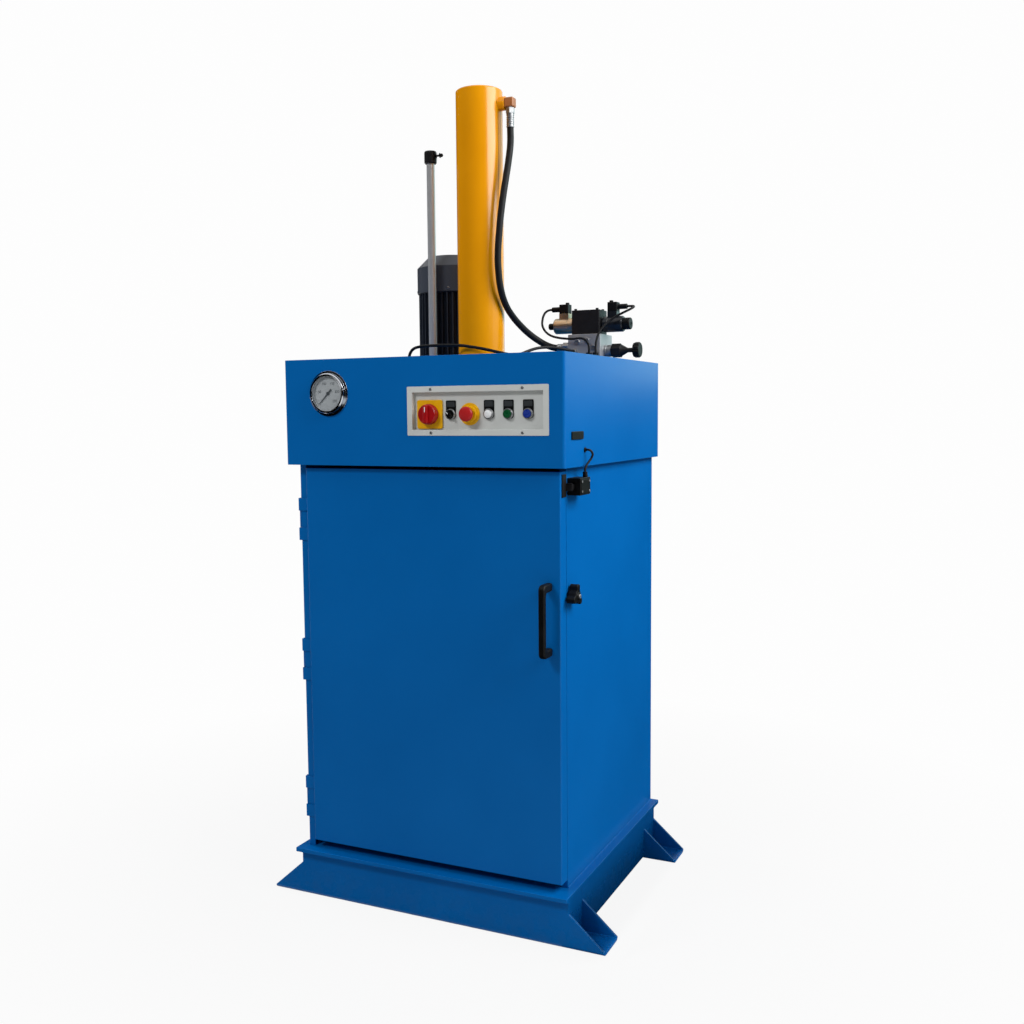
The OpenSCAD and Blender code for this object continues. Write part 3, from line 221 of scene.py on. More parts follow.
cord("plug_cable_right_line", "plug_cable_right", diameter=0.007, route=(
    (0.404, 0.587, 0.164), (0.414, 0.587, 0.164), (0.424, 0.583, 0.163), (0.429, 0.574, 0.160),
    (0.426, 0.564, 0.155), (0.414, 0.557, 0.148), (0.396, 0.553, 0.1395), (0.376, 0.549, 0.129),
    (0.357, 0.543, 0.114), (0.343, 0.533, 0.098), (0.335, 0.526, 0.082), (0.331, 0.520, 0.067),
    (0.329, 0.516, 0.052), (0.328, 0.515, 0.038), (0.328, 0.515, 0.024)))
cord("interlock_cable_line", "interlock_cable", diameter=0.006, route=(
    (0.442, 0.128, -0.314), (0.442, 0.128, -0.307), (0.444, 0.133, -0.297), (0.448, 0.142, -0.287),
    (0.453, 0.149, -0.276), (0.455, 0.149, -0.265), (0.447, 0.143, -0.256), (0.438, 0.143, -0.256)))


# Base
# Two channels bent from 8 mm plate with sloped toes, cross plates welded between and inside them,
# and a thick base plate on top. Everything is sprayed with the same blue enamel.
def build(name, form, material, body, *nodes, edge=0.0, rows=2):
    """A piece from its mesh form: smooth, with broken edges where edge is given."""
    bmesh.ops.recalc_face_normals(form, faces=form.faces)
    mesh = bpy.data.meshes.new(name)
    form.to_mesh(mesh)
    form.free()
    mesh.polygons.foreach_set("use_smooth", [True] * len(mesh.polygons))
    mesh.materials.append(material)
    piece = bpy.data.objects.new(name, mesh)
    stage_scene.collection.objects.link(piece)
    if edge:
        bevel = piece.modifiers.new("broken_edges", "BEVEL")
        bevel.width = edge
        bevel.segments = rows
        bevel.limit_method = "ANGLE"
        bevel.angle_limit = math.radians(28)
        bevel.use_clamp_overlap = False
        bevel.harden_normals = True
    else:
        mesh.set_sharp_from_angle(angle=math.radians(32))
    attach(piece, body)
    if nodes:
        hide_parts(*nodes)


def softened(node, material, edge, rows=2):
    """A solid of the machine with its edges broken, as the real piece has them."""
    solid = frame["nodes"][node]
    form = bmesh.new()
    spots = [form.verts.new(v.co) for v in solid.data.vertices]
    for face in solid.data.polygons:
        form.faces.new([spots[i] for i in face.vertices])
    bmesh.ops.remove_doubles(form, verts=form.verts, dist=2e-6)
    bmesh.ops.dissolve_limit(form, angle_limit=math.radians(0.5), verts=form.verts, edges=form.edges)
    body = solid.parent.name.split(":")[1]
    build(node + "_piece", form, material, body, node, edge=edge, rows=rows)


blue_enamel, shader, place = finish("blue_enamel", Specular_IOR_Level=0.16)
cloud = place.speckle(2.3, 5, 0.55)
grime = (0.10 - place.height()).between(0.0, 0.10) * place.speckle(24, 5, 0.6).between(0.42, 0.75)
colour = cloud.between(0.25, 0.75).mix(tint(0, 95, 169), tint(0, 102, 179))
(grime * 0.12).mix(colour, tint(58, 62, 66)).feed(shader, "Base Color")
(0.20 + cloud * 0.10 + grime * 0.3).feed(shader, "Roughness")
(place.speckle(330, 2) + place.speckle(9, 2) * 2.0).emboss(shader, strength=0.05, distance=0.0015)

softened("base_channels", blue_enamel, edge=0.0012)
softened("base_cross_plates", blue_enamel, edge=0.0010)
softened("base_plate", blue_enamel, edge=0.0015)


# Cabinet
# Side walls folded from 4 mm sheet, the left one with the stile that carries the hinges, and a flat
# rear wall welded between them. A rippled weld bead holds each wall to the base plate.
softened("side_wall_left", blue_enamel, edge=0.0008)
softened("side_wall_right", blue_enamel, edge=0.0008)
softened("rear_wall", blue_enamel, edge=0.0006)


def weld_bead(form, start, end, radius):
    """Adds a rippled weld bead along a corner."""
    start, end = Vector(start), Vector(end)
    way = (end - start).normalized()
    side = way.orthogonal().normalized()
    other = way.cross(side)
    ripple, steps, points = 0.0045, 3, 10
    count = steps * int((end - start).length / ripple)
    rings = []
    for i in range(count + 1):
        reach = radius * (0.80 + 0.20 * abs(math.sin(math.pi * i / steps)))
        rings.append([form.verts.new(start + (end - start) * i / count
                                     + reach * (math.cos(a) * side + math.sin(a) * other))
                      for a in (2 * math.pi * k / points for k in range(points))])
    for near, far in zip(rings, rings[1:]):
        for k in range(points):
            form.faces.new((near[k], near[k - 1], far[k - 1], far[k]))
    form.faces.new(rings[0])
    form.faces.new(rings[-1])


bead_r, wall_t = 0.0032, 0.004
left_low, left_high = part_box("side_wall_left")
right_low, right_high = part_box("side_wall_right")
rear_low, rear_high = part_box("rear_wall")
form = bmesh.new()
for start, end in (
        ((left_low.x, left_low.y + wall_t, left_low.z), (left_low.x, left_high.y, left_low.z)),
        ((right_high.x, right_low.y + wall_t, right_low.z), (right_high.x, right_high.y, right_low.z)),
        ((rear_low.x, rear_high.y, rear_low.z), (rear_high.x, rear_high.y, rear_low.z))):
    weld_bead(form, start, end, bead_r)
build("cabinet_welds", form, blue_enamel, "machine")


# Head
# A wrapped sheet shell on a floor plate, closed by the thick cover that carries the ram and the motor.
# A small black plate covers a spare cable hole in its right side.
softened("head_shell", blue_enamel, edge=0.0008)
softened("head_cover", blue_enamel, edge=0.0008)


def dress(node, material):
    """Gives a solid that stays as it is its real finish."""
    for slot in frame["nodes"][node].material_slots:
        slot.material = material


dress("head_floor", blue_enamel)

black_plastic, shader, place = finish("black_plastic", Specular_IOR_Level=0.2)
worn = place.speckle(30, 4)
worn.between(0.45, 0.8).mix(tint(8, 9, 10), tint(15, 16, 17)).feed(shader, "Base Color")
(0.38 + worn * 0.2).feed(shader, "Roughness")
place.speckle(1100, 1).emboss(shader, strength=0.16, distance=0.0003)
softened("side_cover_plate", black_plastic, edge=0.0012, rows=3)


# Ram
# Ochre enamelled cylinder with a welded cap, a ground and chromed rod, a ribbed pressing plate,
# and a guide rod that slides in a bronze bush and carries a clamped stop collar on top.
ochre_enamel, shader, place = finish("ochre_enamel", Specular_IOR_Level=0.45)
cloud = place.speckle(5, 4, 0.5)
cloud.between(0.3, 0.7).mix(tint(221, 143, 0), tint(229, 151, 0)).feed(shader, "Base Color")
(0.15 + cloud * 0.10).feed(shader, "Roughness")
(place.speckle(260, 2) + place.speckle(14, 2) * 2.0).emboss(shader, strength=0.05, distance=0.001)
softened("cylinder_barrel", ochre_enamel, edge=0.0012)

rod_chrome, shader, place = finish("rod_chrome", Metallic=0.6)
ground = place.stretch(1, 1, 40).speckle(22, 3)
ground.mix(tint(202, 203, 205), tint(220, 221, 222)).feed(shader, "Base Color")
(0.32 + ground * 0.14).feed(shader, "Roughness")
ground.emboss(shader, strength=0.04, distance=0.0002)
softened("guide_rod", rod_chrome, edge=0.0010)
softened("piston_rod", rod_chrome, edge=0.0010)

steel, shader, place = finish("zinc_steel", Metallic=1.0)
frost = place.speckle(160, 3)
frost.mix(tint(138, 140, 143), tint(178, 180, 181)).feed(shader, "Base Color")
(0.42 + frost * 0.16).feed(shader, "Roughness")
frost.emboss(shader, strength=0.06, distance=0.0003)
dress("cylinder_gland", steel)
dress("piston", steel)

bronze, shader, place = finish("bush_bronze", Metallic=1.0)
turning = place.stretch(1, 1, 30).speckle(60, 2)
turning.mix(tint(150, 112, 62), tint(192, 150, 88)).feed(shader, "Base Color")
(0.28 + turning * 0.15).feed(shader, "Roughness")
turning.emboss(shader, strength=0.08, distance=0.0002)
softened("guide_bush", bronze, edge=0.0008)

black_steel, shader, place = finish("black_steel", Specular_IOR_Level=0.25)
oxide = place.speckle(70, 4)
oxide.mix(tint(18, 18, 20), tint(28, 28, 30)).feed(shader, "Base Color")
(0.36 + oxide * 0.2).feed(shader, "Roughness")
oxide.emboss(shader, strength=0.08, distance=0.0004)
softened("stop_collar", black_steel, edge=0.0045, rows=4)

worn_blue, shader, place = finish("platen_paint", Specular_IOR_Level=0.25)
rub = place.speckle(16, 6, 0.65).between(0.56, 0.70)
rub.mix(tint(0, 84, 152), tint(118, 120, 122)).feed(shader, "Base Color")
(0.45 - rub * 0.1).feed(shader, "Roughness")
rub.feed(shader, "Metallic")
(rub * -1.0).emboss(shader, strength=0.1, distance=0.0006)
softened("platen", worn_blue, edge=0.0015)


def turned(form, profile, spot, axis, steps=48):
    """Adds a turned shape: rings of radius, height and, where they aren't round, a number of flats."""
    axis = Vector(axis).normalized()
    side = axis.orthogonal().normalized()
    other = axis.cross(side)
    rings = []
    for radius, height, *flats in profile:
        ring = []
        for k in range(steps if radius else 1):
            angle = 2 * math.pi * k / steps
            reach = radius
            if flats:
                half = math.pi / flats[0]
                reach = radius / math.cos(angle % (2 * half) - half)
            ring.append(form.verts.new(Vector(spot) + axis * height
                                       + reach * (math.cos(angle) * side + math.sin(angle) * other)))
        rings.append(ring)
    for low, high in zip(rings, rings[1:]):
        for k in range(steps):
            n = (k + 1) % steps
            corners = (low[k % len(low)], low[n % len(low)], high[n % len(high)], high[k % len(high)])
            form.faces.new(list(dict.fromkeys(corners)))


def cap_screws(name, spots, axis, width, tall, material, body):
    """Socket head screws, standing on their spots."""
    form = bmesh.new()
    edge, socket_r, socket_floor = width * 0.06, width * 0.27, tall * 0.45
    for spot in spots:
        turned(form, (
            (0, socket_floor), (socket_r, socket_floor, 6), (socket_r, tall, 6),
            (width / 2 - edge, tall), (width / 2, tall - edge), (width / 2, 0)), spot, axis, 24)
    build(name, form, material, body)


cover_top = head_high.z
barrel_low, barrel_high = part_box("cylinder_barrel")
ram_y = (barrel_low.y + barrel_high.y) / 2
flange_bolt_circle = 0.092
cap_screws("flange_screws",
           [(flange_bolt_circle * math.cos(a), ram_y + flange_bolt_circle * math.sin(a), cover_top)
            for a in (math.radians(22.5 + 45 * i) for i in range(8))],
           axis=(0, 0, 1), width=0.021, tall=0.014, material=black_steel, body="machine")


# Motor and pump
# A finned cast motor stands on the cover under a pressed fan cowl, and drives a gear pump
# in the oil tank below. The frame is sprayed near black and the cowl slate grey.
motor_black, shader, place = finish("motor_black", Specular_IOR_Level=0.3)
cast = place.speckle(120, 4)
cast.mix(tint(36, 40, 48), tint(48, 53, 62)).feed(shader, "Base Color")
(0.38 + cast * 0.2).feed(shader, "Roughness")
cast.emboss(shader, strength=0.15, distance=0.0006)
softened("motor_frame", motor_black, edge=0.0006)

motor_grey, shader, place = finish("motor_grey", Specular_IOR_Level=0.3)
cloud = place.speckle(12, 4)
cloud.mix(tint(60, 64, 72), tint(71, 76, 85)).feed(shader, "Base Color")
(0.30 + cloud * 0.16).feed(shader, "Roughness")
place.speckle(380, 2).emboss(shader, strength=0.06, distance=0.0006)
softened("motor_fan_cover", motor_grey, edge=0.0006)
dress("motor_rotor", steel)
dress("gear_pump", steel)

tank_grey, shader, place = finish("tank_grey", Specular_IOR_Level=0.4)
cloud = place.speckle(10, 4)
cloud.mix(tint(112, 116, 120), tint(132, 136, 140)).feed(shader, "Base Color")
(0.4 + cloud * 0.15).feed(shader, "Roughness")
place.speckle(300, 2).emboss(shader, strength=0.06, distance=0.0006)
dress("oil_tank", tank_grey)

cowl_low, cowl_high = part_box("motor_fan_cover")
motor_x = (cowl_low.x + cowl_high.x) / 2
motor_y = (cowl_low.y + cowl_high.y) / 2
cowl_r = (cowl_high.x - cowl_low.x) / 2
cowl_screw_r, cowl_socket_r, cowl_socket_floor, cowl_screw_z = 0.0046, 0.0016, 0.0012, 0.009
form = bmesh.new()
for degrees in (20, 110, 200, 290):
    out = Vector((math.cos(math.radians(degrees)), math.sin(math.radians(degrees)), 0))
    turned(form, (
        (0, cowl_socket_floor), (cowl_socket_r, cowl_socket_floor, 6), (cowl_socket_r, 0.0026, 6),
        (0.0036, 0.0022), (cowl_screw_r, 0), (cowl_screw_r, -0.001)),
        Vector((motor_x, motor_y, cowl_low.z + cowl_screw_z)) + out * cowl_r, out, 24)
build("cowl_screws", form, steel, "machine")
motor_bolt_circle, motor_flange_t, motor_screw_h = 0.1025, 0.014, 0.0058
form = bmesh.new()
for degrees in (45, 135, 225, 315):
    out = Vector((math.cos(math.radians(degrees)), math.sin(math.radians(degrees)), 0))
    turned(form, ((0, motor_screw_h), (0.0052, motor_screw_h), (0.0065, 0.0050, 6), (0.0065, 0, 6)),
           Vector((motor_x, motor_y, cover_top + motor_flange_t)) + out * motor_bolt_circle, (0, 0, 1), 24)
build("motor_flange_screws", form, steel, "machine")


def box_form(form, low, high):
    """Adds a box between two corners."""
    low, high = Vector(low), Vector(high)
    size = Matrix.Diagonal((*(high - low), 1))
    bmesh.ops.create_cube(form, size=1, matrix=Matrix.Translation((low + high) / 2) @ size)


lid_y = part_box("motor_frame")[1].y
lid_half, lid_t, lid_screw_x, lid_screw_in = 0.050, 0.005, 0.042, 0.008
lid_z0, lid_z1 = cover_top + 0.068, cover_top + 0.167
form = bmesh.new()
box_form(form, (motor_x - lid_half, lid_y, lid_z0), (motor_x + lid_half, lid_y + lid_t, lid_z1))
build("terminal_box_lid", form, motor_black, "machine", edge=0.0018, rows=3)
cap_screws("terminal_box_screws",
           [(motor_x + x, lid_y + lid_t, z) for x in (-lid_screw_x, lid_screw_x)
            for z in (lid_z0 + lid_screw_in, lid_z1 - lid_screw_in)],
           axis=(0, 1, 0), width=0.0075, tall=0.003, material=steel, body="machine")


# Valve group
# A milled aluminium manifold carries the black directional valve with a coil at each end,
# their plugs, and the relief valve with its adjusting knob. All of it is screwed together.
aluminium, shader, place = finish("milled_aluminium", Metallic=0.7)
milled = place.stretch(1, 1, 14).speckle(70, 3)
milled.mix(tint(168, 169, 171), tint(192, 193, 194)).feed(shader, "Base Color")
(0.40 + milled * 0.16).feed(shader, "Roughness")
milled.emboss(shader, strength=0.08, distance=0.0003)
softened("manifold_block", aluminium, edge=0.0010)
softened("valve_body", black_steel, edge=0.0012)
block_low, block_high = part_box("manifold_block")
valve_low, valve_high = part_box("valve_body")
valve_screw_in = 0.010
cap_screws("valve_screws",
           [(x, y, valve_high.z) for x in (valve_low.x + valve_screw_in, valve_high.x - valve_screw_in)
            for y in (valve_low.y + valve_screw_in, valve_high.y - valve_screw_in)],
           axis=(0, 0, 1), width=0.0090, tall=0.005, material=black_steel, body="machine")
cap_screws("manifold_plugs",
           [(block_low.x + 0.030, block_low.y, block_low.z + 0.058),
            (block_high.x - 0.022, block_low.y, block_low.z + 0.040),
            (block_low.x + 0.062, block_low.y, block_low.z + 0.062)],
           axis=(0, -1, 0), width=0.017, tall=0.003, material=steel, body="machine")

coil_low, coil_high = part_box("solenoids")
coil_y = (coil_low.y + coil_high.y) / 2
coil_r = (coil_high.y - coil_low.y) / 2
coil_z = coil_low.z + coil_r
coil_l = 0.068
coil_neck_r, coil_groove = 0.018, 0.0006
plug_seat = 0.015


def coil(name, side, face_x, material, nut_r, nut_l):
    """One coil can with its seat for the plug, outwards from the valve's face."""
    spot, out = (face_x, coil_y, coil_z), (side, 0, 0)
    form = bmesh.new()
    turned(form, (
        (coil_neck_r, 0), (coil_neck_r, 0.003), (coil_r - 0.002, 0.003), (coil_r, 0.005), (coil_r, 0.020),
        (coil_r - coil_groove, 0.0206), (coil_r - coil_groove, 0.0222), (coil_r, 0.0228),
        (coil_r, coil_l - 0.004), (coil_r - 0.002, coil_l - 0.001),
        (nut_r - 0.002, coil_l - 0.001)), spot, out, 64)
    middle = face_x + side * coil_l / 2
    box_form(form, (middle - plug_seat, coil_y - plug_seat, coil_z),
             (middle + plug_seat, coil_y + plug_seat, coil_high.z))
    build(name, form, material, "machine", "solenoids")
    form = bmesh.new()
    turned(form, (
        (nut_r - 0.002, coil_l - 0.002), (nut_r, coil_l, 18), (nut_r, coil_l + nut_l - 0.002, 18),
        (nut_r - 0.0015, coil_l + nut_l), (0.005, coil_l + nut_l), (0.0045, coil_l + nut_l - 0.002),
        (0, coil_l + nut_l - 0.002)), spot, out, 72)
    build(name + "_nut", form, black_plastic, "machine", "solenoids")


yellow_zinc, shader, place = finish("yellow_zinc", Metallic=1.0)
film = place.speckle(40, 4)
film.mix(tint(206, 186, 156), tint(226, 210, 184)).feed(shader, "Base Color")
(0.32 + film * 0.12).feed(shader, "Roughness")
film.emboss(shader, strength=0.04, distance=0.0003)
navy_lacquer, shader, place = finish("navy_lacquer", Specular_IOR_Level=0.4)
film = place.speckle(40, 4)
film.mix(tint(18, 21, 26), tint(27, 31, 37)).feed(shader, "Base Color")
(0.24 + film * 0.12).feed(shader, "Roughness")
film.emboss(shader, strength=0.04, distance=0.0003)
coil("coil_left", -1, valve_low.x, yellow_zinc, nut_r=0.010, nut_l=0.020)
coil("coil_right", 1, valve_high.x, navy_lacquer, nut_r=0.018, nut_l=0.022)
softened("din_plugs", black_plastic, edge=0.0016, rows=3)
relief_low, relief_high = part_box("relief_valve")
relief_y = (relief_low.y + relief_high.y) / 2
relief_z = (relief_low.z + relief_high.z) / 2
relief_spot, relief_way = (relief_low.x, relief_y, relief_z), (1, 0, 0)
sleeve_r, sleeve_l, sleeve_groove = 0.018, 0.022, 0.0012
form = bmesh.new()
turned(form, ((sleeve_r, 0), (sleeve_r, 0.005), (sleeve_r - sleeve_groove, 0.006),
              (sleeve_r - sleeve_groove, 0.0085), (sleeve_r, 0.0095),
              (sleeve_r, sleeve_l - 0.001), (sleeve_r - 0.001, sleeve_l)), relief_spot, relief_way, 64)
build("relief_sleeve", form, steel, "machine", "relief_valve")
hexagon_r = 0.0215 * math.cos(math.pi / 6)
hexagon_end = sleeve_l + 0.030
taper_end = hexagon_end + 0.020
stem_end = taper_end + 0.0197
spigot_end = stem_end + 0.0138
stem_r, spigot_r, hexagon_edge = 0.007, 0.005, 0.0008
form = bmesh.new()
turned(form, ((0.010, sleeve_l), (hexagon_r - 0.0012, sleeve_l), (hexagon_r, sleeve_l + hexagon_edge, 6),
              (hexagon_r, hexagon_end - hexagon_edge, 6), (hexagon_r - 0.0005, hexagon_end),
              (sleeve_r, hexagon_end), (stem_r, taper_end), (stem_r, stem_end), (spigot_r, stem_end),
              (spigot_r, spigot_end), (0, spigot_end)), relief_spot, relief_way, 72)
build("relief_hexagon", form, black_steel, "machine", "relief_valve")
softened("relief_knob", black_plastic, edge=0.0010)
softened("cable_glands", black_plastic, edge=0.0006)


# Hose fittings
# The pressure hose ends in crimped ferrules: at the cylinder on an elbow that was sprayed with it,
# at the manifold on a straight hexagon. The gauge hose has a small hexagon of its own.
fit_low, fit_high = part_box("hose_fittings")
elbow_z1 = fit_high.z
elbow = 0.028
hose_x = fit_low.x + elbow / 2
elbow_z0 = elbow_z1 - elbow
hose_top = head_high.z + 0.684
form = bmesh.new()
box_form(form, (fit_low.x, ram_y - elbow / 2, elbow_z0), (fit_low.x + elbow, ram_y + elbow / 2, elbow_z1))
elbow_brown, shader, place = finish("elbow_paint", Specular_IOR_Level=0.5)
cloud = place.speckle(60, 4)
cloud.mix(tint(138, 78, 36), tint(176, 112, 64)).feed(shader, "Base Color")
(0.25 + cloud * 0.2).feed(shader, "Roughness")
cloud.emboss(shader, strength=0.08, distance=0.0005)
build("port_elbow", form, elbow_brown, "machine", "hose_fittings", edge=0.004, rows=4)


def ferrule(form, spot, axis, length, radius):
    """A crimped ferrule from the hose's end, with its pressed rings."""
    plain, groove, slope, rings = 0.004, 0.0011, 0.0012, 5
    pitch = (length - 2 * plain) / rings
    profile = [(radius - 0.0028, 0), (radius - 0.0008, 0), (radius, 0.001)]
    for i in range(rings):
        start = plain + i * pitch
        profile += [(radius, start), (radius - groove, start + slope),
                    (radius - groove, start + pitch - 2 * slope), (radius, start + pitch - slope)]
    profile += [(radius, length - 0.001), (radius - 0.001, length), (radius - 0.004, length)]
    turned(form, profile, spot, axis, 40)


def hose_nut(form, spot, axis, corner_r, length):
    """A chamfered hexagon nut from its spot, given by the radius over its corners."""
    flat_r, neck_r, chamfer = corner_r * math.cos(math.pi / 6), 0.009, 0.001
    turned(form, ((neck_r, 0), (flat_r - chamfer, 0), (flat_r, chamfer, 6), (flat_r, length - chamfer, 6),
                  (flat_r - chamfer, length), (neck_r, length)), spot, axis, 36)


ferrule_r, elbow_nut_l, manifold_nut_l = 0.0115, 0.018, 0.020
form = bmesh.new()
ferrule(form, (hose_x, ram_y, hose_top), (0, 0, 1), elbow_z0 - elbow_nut_l - hose_top, ferrule_r)
hose_nut(form, (hose_x, ram_y, elbow_z0 - elbow_nut_l), (0, 0, 1), 0.0135, elbow_nut_l)
manifold_hose = Vector((0.190, head_low.y + 0.552, head_high.z + 0.044))
manifold_nut_x = block_low.x - manifold_nut_l
ferrule(form, manifold_hose, (1, 0, 0), manifold_nut_x - manifold_hose.x, ferrule_r)
hose_nut(form, (manifold_nut_x, manifold_hose.y, manifold_hose.z), (1, 0, 0), 0.0155, manifold_nut_l)
gauge_end = Vector((0.252, head_low.y + 0.526, head_high.z + 0.030))
gauge_nut_r, gauge_nut_edge = 0.008 * math.cos(math.pi / 6), 0.0006
turned(form, ((0.004, 0), (gauge_nut_r - gauge_nut_edge, 0), (gauge_nut_r, gauge_nut_edge, 6),
              (gauge_nut_r, block_low.y - gauge_end.y, 6)), gauge_end, (0, 1, 0), 36)
build("hose_ferrules", form, steel, "machine", "hose_fittings")


# Door
# A folded sheet tray with a keeper for the latch, hung on three weld-on hinges. It has a moulded pull,
# a lobed latch knob on the wall beside it, and a safety switch that takes a key on its edge.
softened("door_panel", blue_enamel, edge=0.0010)
softened("door_hinges", blue_enamel, edge=0.0008)
softened("wall_hinges", blue_enamel, edge=0.0008)
softened("door_handle", black_plastic, edge=0.0045, rows=4)
softened("latch_knob", black_plastic, edge=0.0018, rows=3)
dress("latch_disc", steel)
latch_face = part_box("latch_knob")[1].x
latch_y, latch_z = head_low.y + 0.077, 0.957
cap_screws("latch_screw", [(latch_face, latch_y, latch_z)],
           axis=(1, 0, 0), width=0.012, tall=0.003, material=steel, body="latch")
softened("interlock_switch", black_plastic, edge=0.0016, rows=3)
softened("interlock_key", black_steel, edge=0.0004)
switch_low, switch_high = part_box("interlock_switch")
cover_x = switch_high.x + 0.0015
cover_in, cover_l, cover_screw_in = 0.004, 0.069, 0.010
form = bmesh.new()
box_form(form, (switch_high.x - 0.001, switch_low.y + cover_in, switch_low.z + cover_in),
         (cover_x, switch_low.y + cover_l, switch_high.z - cover_in))
build("interlock_lid", form, black_plastic, "machine", edge=0.001, rows=2)
cap_screws("interlock_screws",
           [(cover_x, switch_low.y + y, z) for y in (cover_screw_in, 0.063)
            for z in (switch_low.z + cover_screw_in, switch_high.z - cover_screw_in)],
           axis=(1, 0, 0), width=0.006, tall=0.0014, material=steel, body="machine")


# Control panel
# A pressed ivory tray screwed into the head's front. The main switch, selector, emergency stop, lamp
# and two push buttons stand on its sunk floor, with black holders behind four of them.
ivory, shader, place = finish("ivory_powder_coat", Specular_IOR_Level=0.3)
cloud = place.speckle(9, 4)
cloud.mix(tint(199, 202, 200), tint(209, 212, 210)).feed(shader, "Base Color")
(0.45 + cloud * 0.15).feed(shader, "Roughness")
place.speckle(700, 2).emboss(shader, strength=0.10, distance=0.0004)
softened("panel_tray", ivory, edge=0.0007)
softened("panel_screws", steel, edge=0.0003)


def plastic(name, low, high, shine):
    """A moulded plastic with a fine grain and slight unevenness."""
    material, shader, place = finish(name, Specular_IOR_Level=0.4)
    grain = place.speckle(90, 3)
    grain.mix(low, high).feed(shader, "Base Color")
    (shine + grain * 0.12).feed(shader, "Roughness")
    place.speckle(1300, 1).emboss(shader, strength=0.06, distance=0.0002)
    return material


yellow_plastic = plastic("yellow_plastic", tint(232, 170, 0), tint(244, 186, 6), shine=0.30)
red_plastic = plastic("red_plastic", tint(150, 8, 14), tint(176, 14, 20), shine=0.26)
stop_red = plastic("stop_red", tint(168, 24, 28), tint(188, 34, 36), shine=0.30)
white_plastic = plastic("white_plastic", tint(226, 228, 230), tint(240, 241, 242), shine=0.22)
green_plastic = plastic("green_plastic", tint(6, 70, 36), tint(12, 88, 46), shine=0.22)
blue_plastic = plastic("blue_plastic", tint(24, 46, 132), tint(34, 60, 154), shine=0.22)
softened("main_switch_plate", yellow_plastic, edge=0.0012, rows=3)
plate_low, plate_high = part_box("main_switch_plate")
floor_y = plate_high.y
knob_low, knob_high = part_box("main_switch_knob")
control_z = (knob_low.z + knob_high.z) / 2
knob_x = (knob_low.x + knob_high.x) / 2
knob_r = (knob_high.x - knob_low.x) / 2
plate_t = plate_high.y - plate_low.y
towards = (0, -1, 0)
skirt_waist, skirt_top = 0.0012, 0.0190
form = bmesh.new()
turned(form, (
    (knob_r - 0.002, plate_t + 0.0003), (knob_r, plate_t + 0.0010), (knob_r, plate_t + 0.0060),
    (knob_r - skirt_waist, plate_t + 0.0072), (knob_r - skirt_waist, plate_t + 0.0165),
    (knob_r - 0.0032, plate_t + skirt_top), (0, plate_t + skirt_top)),
    (knob_x, floor_y, control_z), towards, 96)
build("main_switch_skirt", form, red_plastic, "main_switch", "main_switch_knob")
grip_w, grip_l, grip_root = 0.0145, 2 * knob_r - 0.006, 0.012
form = bmesh.new()
box_form(form, (knob_x - grip_w / 2, knob_low.y, control_z - grip_l / 2),
         (knob_x + grip_w / 2, floor_y - plate_t - grip_root, control_z + grip_l / 2))
build("main_switch_grip", form, red_plastic, "main_switch", "main_switch_knob", edge=0.0042, rows=4)
mark_half, mark_proud, mark_sunk = 0.0011, 0.0003, 0.0006
form = bmesh.new()
box_form(form, (knob_x - mark_half, knob_low.y - mark_proud, control_z + 0.006),
         (knob_x + mark_half, knob_low.y + mark_sunk, control_z + grip_l / 2 - 0.005))
build("main_switch_mark", form, white_plastic, "main_switch")
softened("estop_collar", yellow_plastic, edge=0.0005)
softened("estop_button", stop_red, edge=0.0008, rows=3)
softened("pilot_lamp", white_plastic, edge=0.0005)
softened("green_button", green_plastic, edge=0.0006, rows=3)
softened("blue_button", blue_plastic, edge=0.0006, rows=3)
softened("selector_knob", black_plastic, edge=0.0008, rows=3)
legend_low, legend_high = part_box("legend_plates")
holder_half, holder_corner, holder_round, bore_gap = 0.0150, 0.003, 0.0105, 0.0004
slip_half, slip_proud, slip_low, slip_high = 0.0118, 0.0004, 0.0175, 0.0030
corner_steps = 8
form, slips = bmesh.new(), bmesh.new()
for button in ("selector_knob", "pilot_lamp", "green_button", "blue_button"):
    low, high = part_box(button)
    x = (low.x + high.x) / 2
    hole = (high.x - low.x) / 2 + bore_gap
    edges = []
    for cx, cz, radius, start in (
            (x + holder_half, legend_high.z, holder_corner, 0),
            (x - holder_half, legend_high.z, holder_corner, 90),
            (x - holder_half, legend_low.z, holder_round, 180),
            (x + holder_half, legend_low.z, holder_round, 270)):
        inwards = Vector((radius if cx < x else -radius, radius if cz < control_z else -radius))
        for step in range(corner_steps + 1):
            angle = math.radians(start + 90 * step / corner_steps)
            rim = Vector((cx + inwards.x + radius * math.cos(angle) - x,
                          cz + inwards.y + radius * math.sin(angle) - control_z))
            bore = rim.normalized() * hole
            edges.append([form.verts.new((x + reach.x, y, control_z + reach.y)) for reach, y in (
                (rim, legend_low.y), (bore, legend_low.y), (bore, legend_high.y), (rim, legend_high.y))])
    for i, near in enumerate(edges):
        beyond = edges[(i + 1) % len(edges)]
        for k in range(4):
            form.faces.new((near[k], beyond[k], beyond[(k + 1) % 4], near[(k + 1) % 4]))
    box_form(slips, (x - slip_half, legend_low.y - slip_proud, legend_high.z - slip_low),
             (x + slip_half, legend_low.y + slip_proud, legend_high.z - slip_high))
build("legend_holders", form, black_plastic, "machine", "legend_plates", edge=0.0005)
slip_grey = plastic("legend_slip", tint(46, 49, 52), tint(62, 66, 69), shine=0.30)
build("legend_slips", slips, slip_grey, "machine", edge=0.0002)
# A thin white bar along the selector's lever is a painted highlight, where light catches its ridge.
low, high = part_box("selector_knob")
selector_highlight_half = 0.0010
form = bmesh.new()
box_form(form, (-selector_highlight_half, low.y - mark_proud, 0.001),
         (selector_highlight_half, low.y + mark_sunk, 0.0095))
to_selector = Matrix.Translation(((low.x + high.x) / 2, 0, control_z))
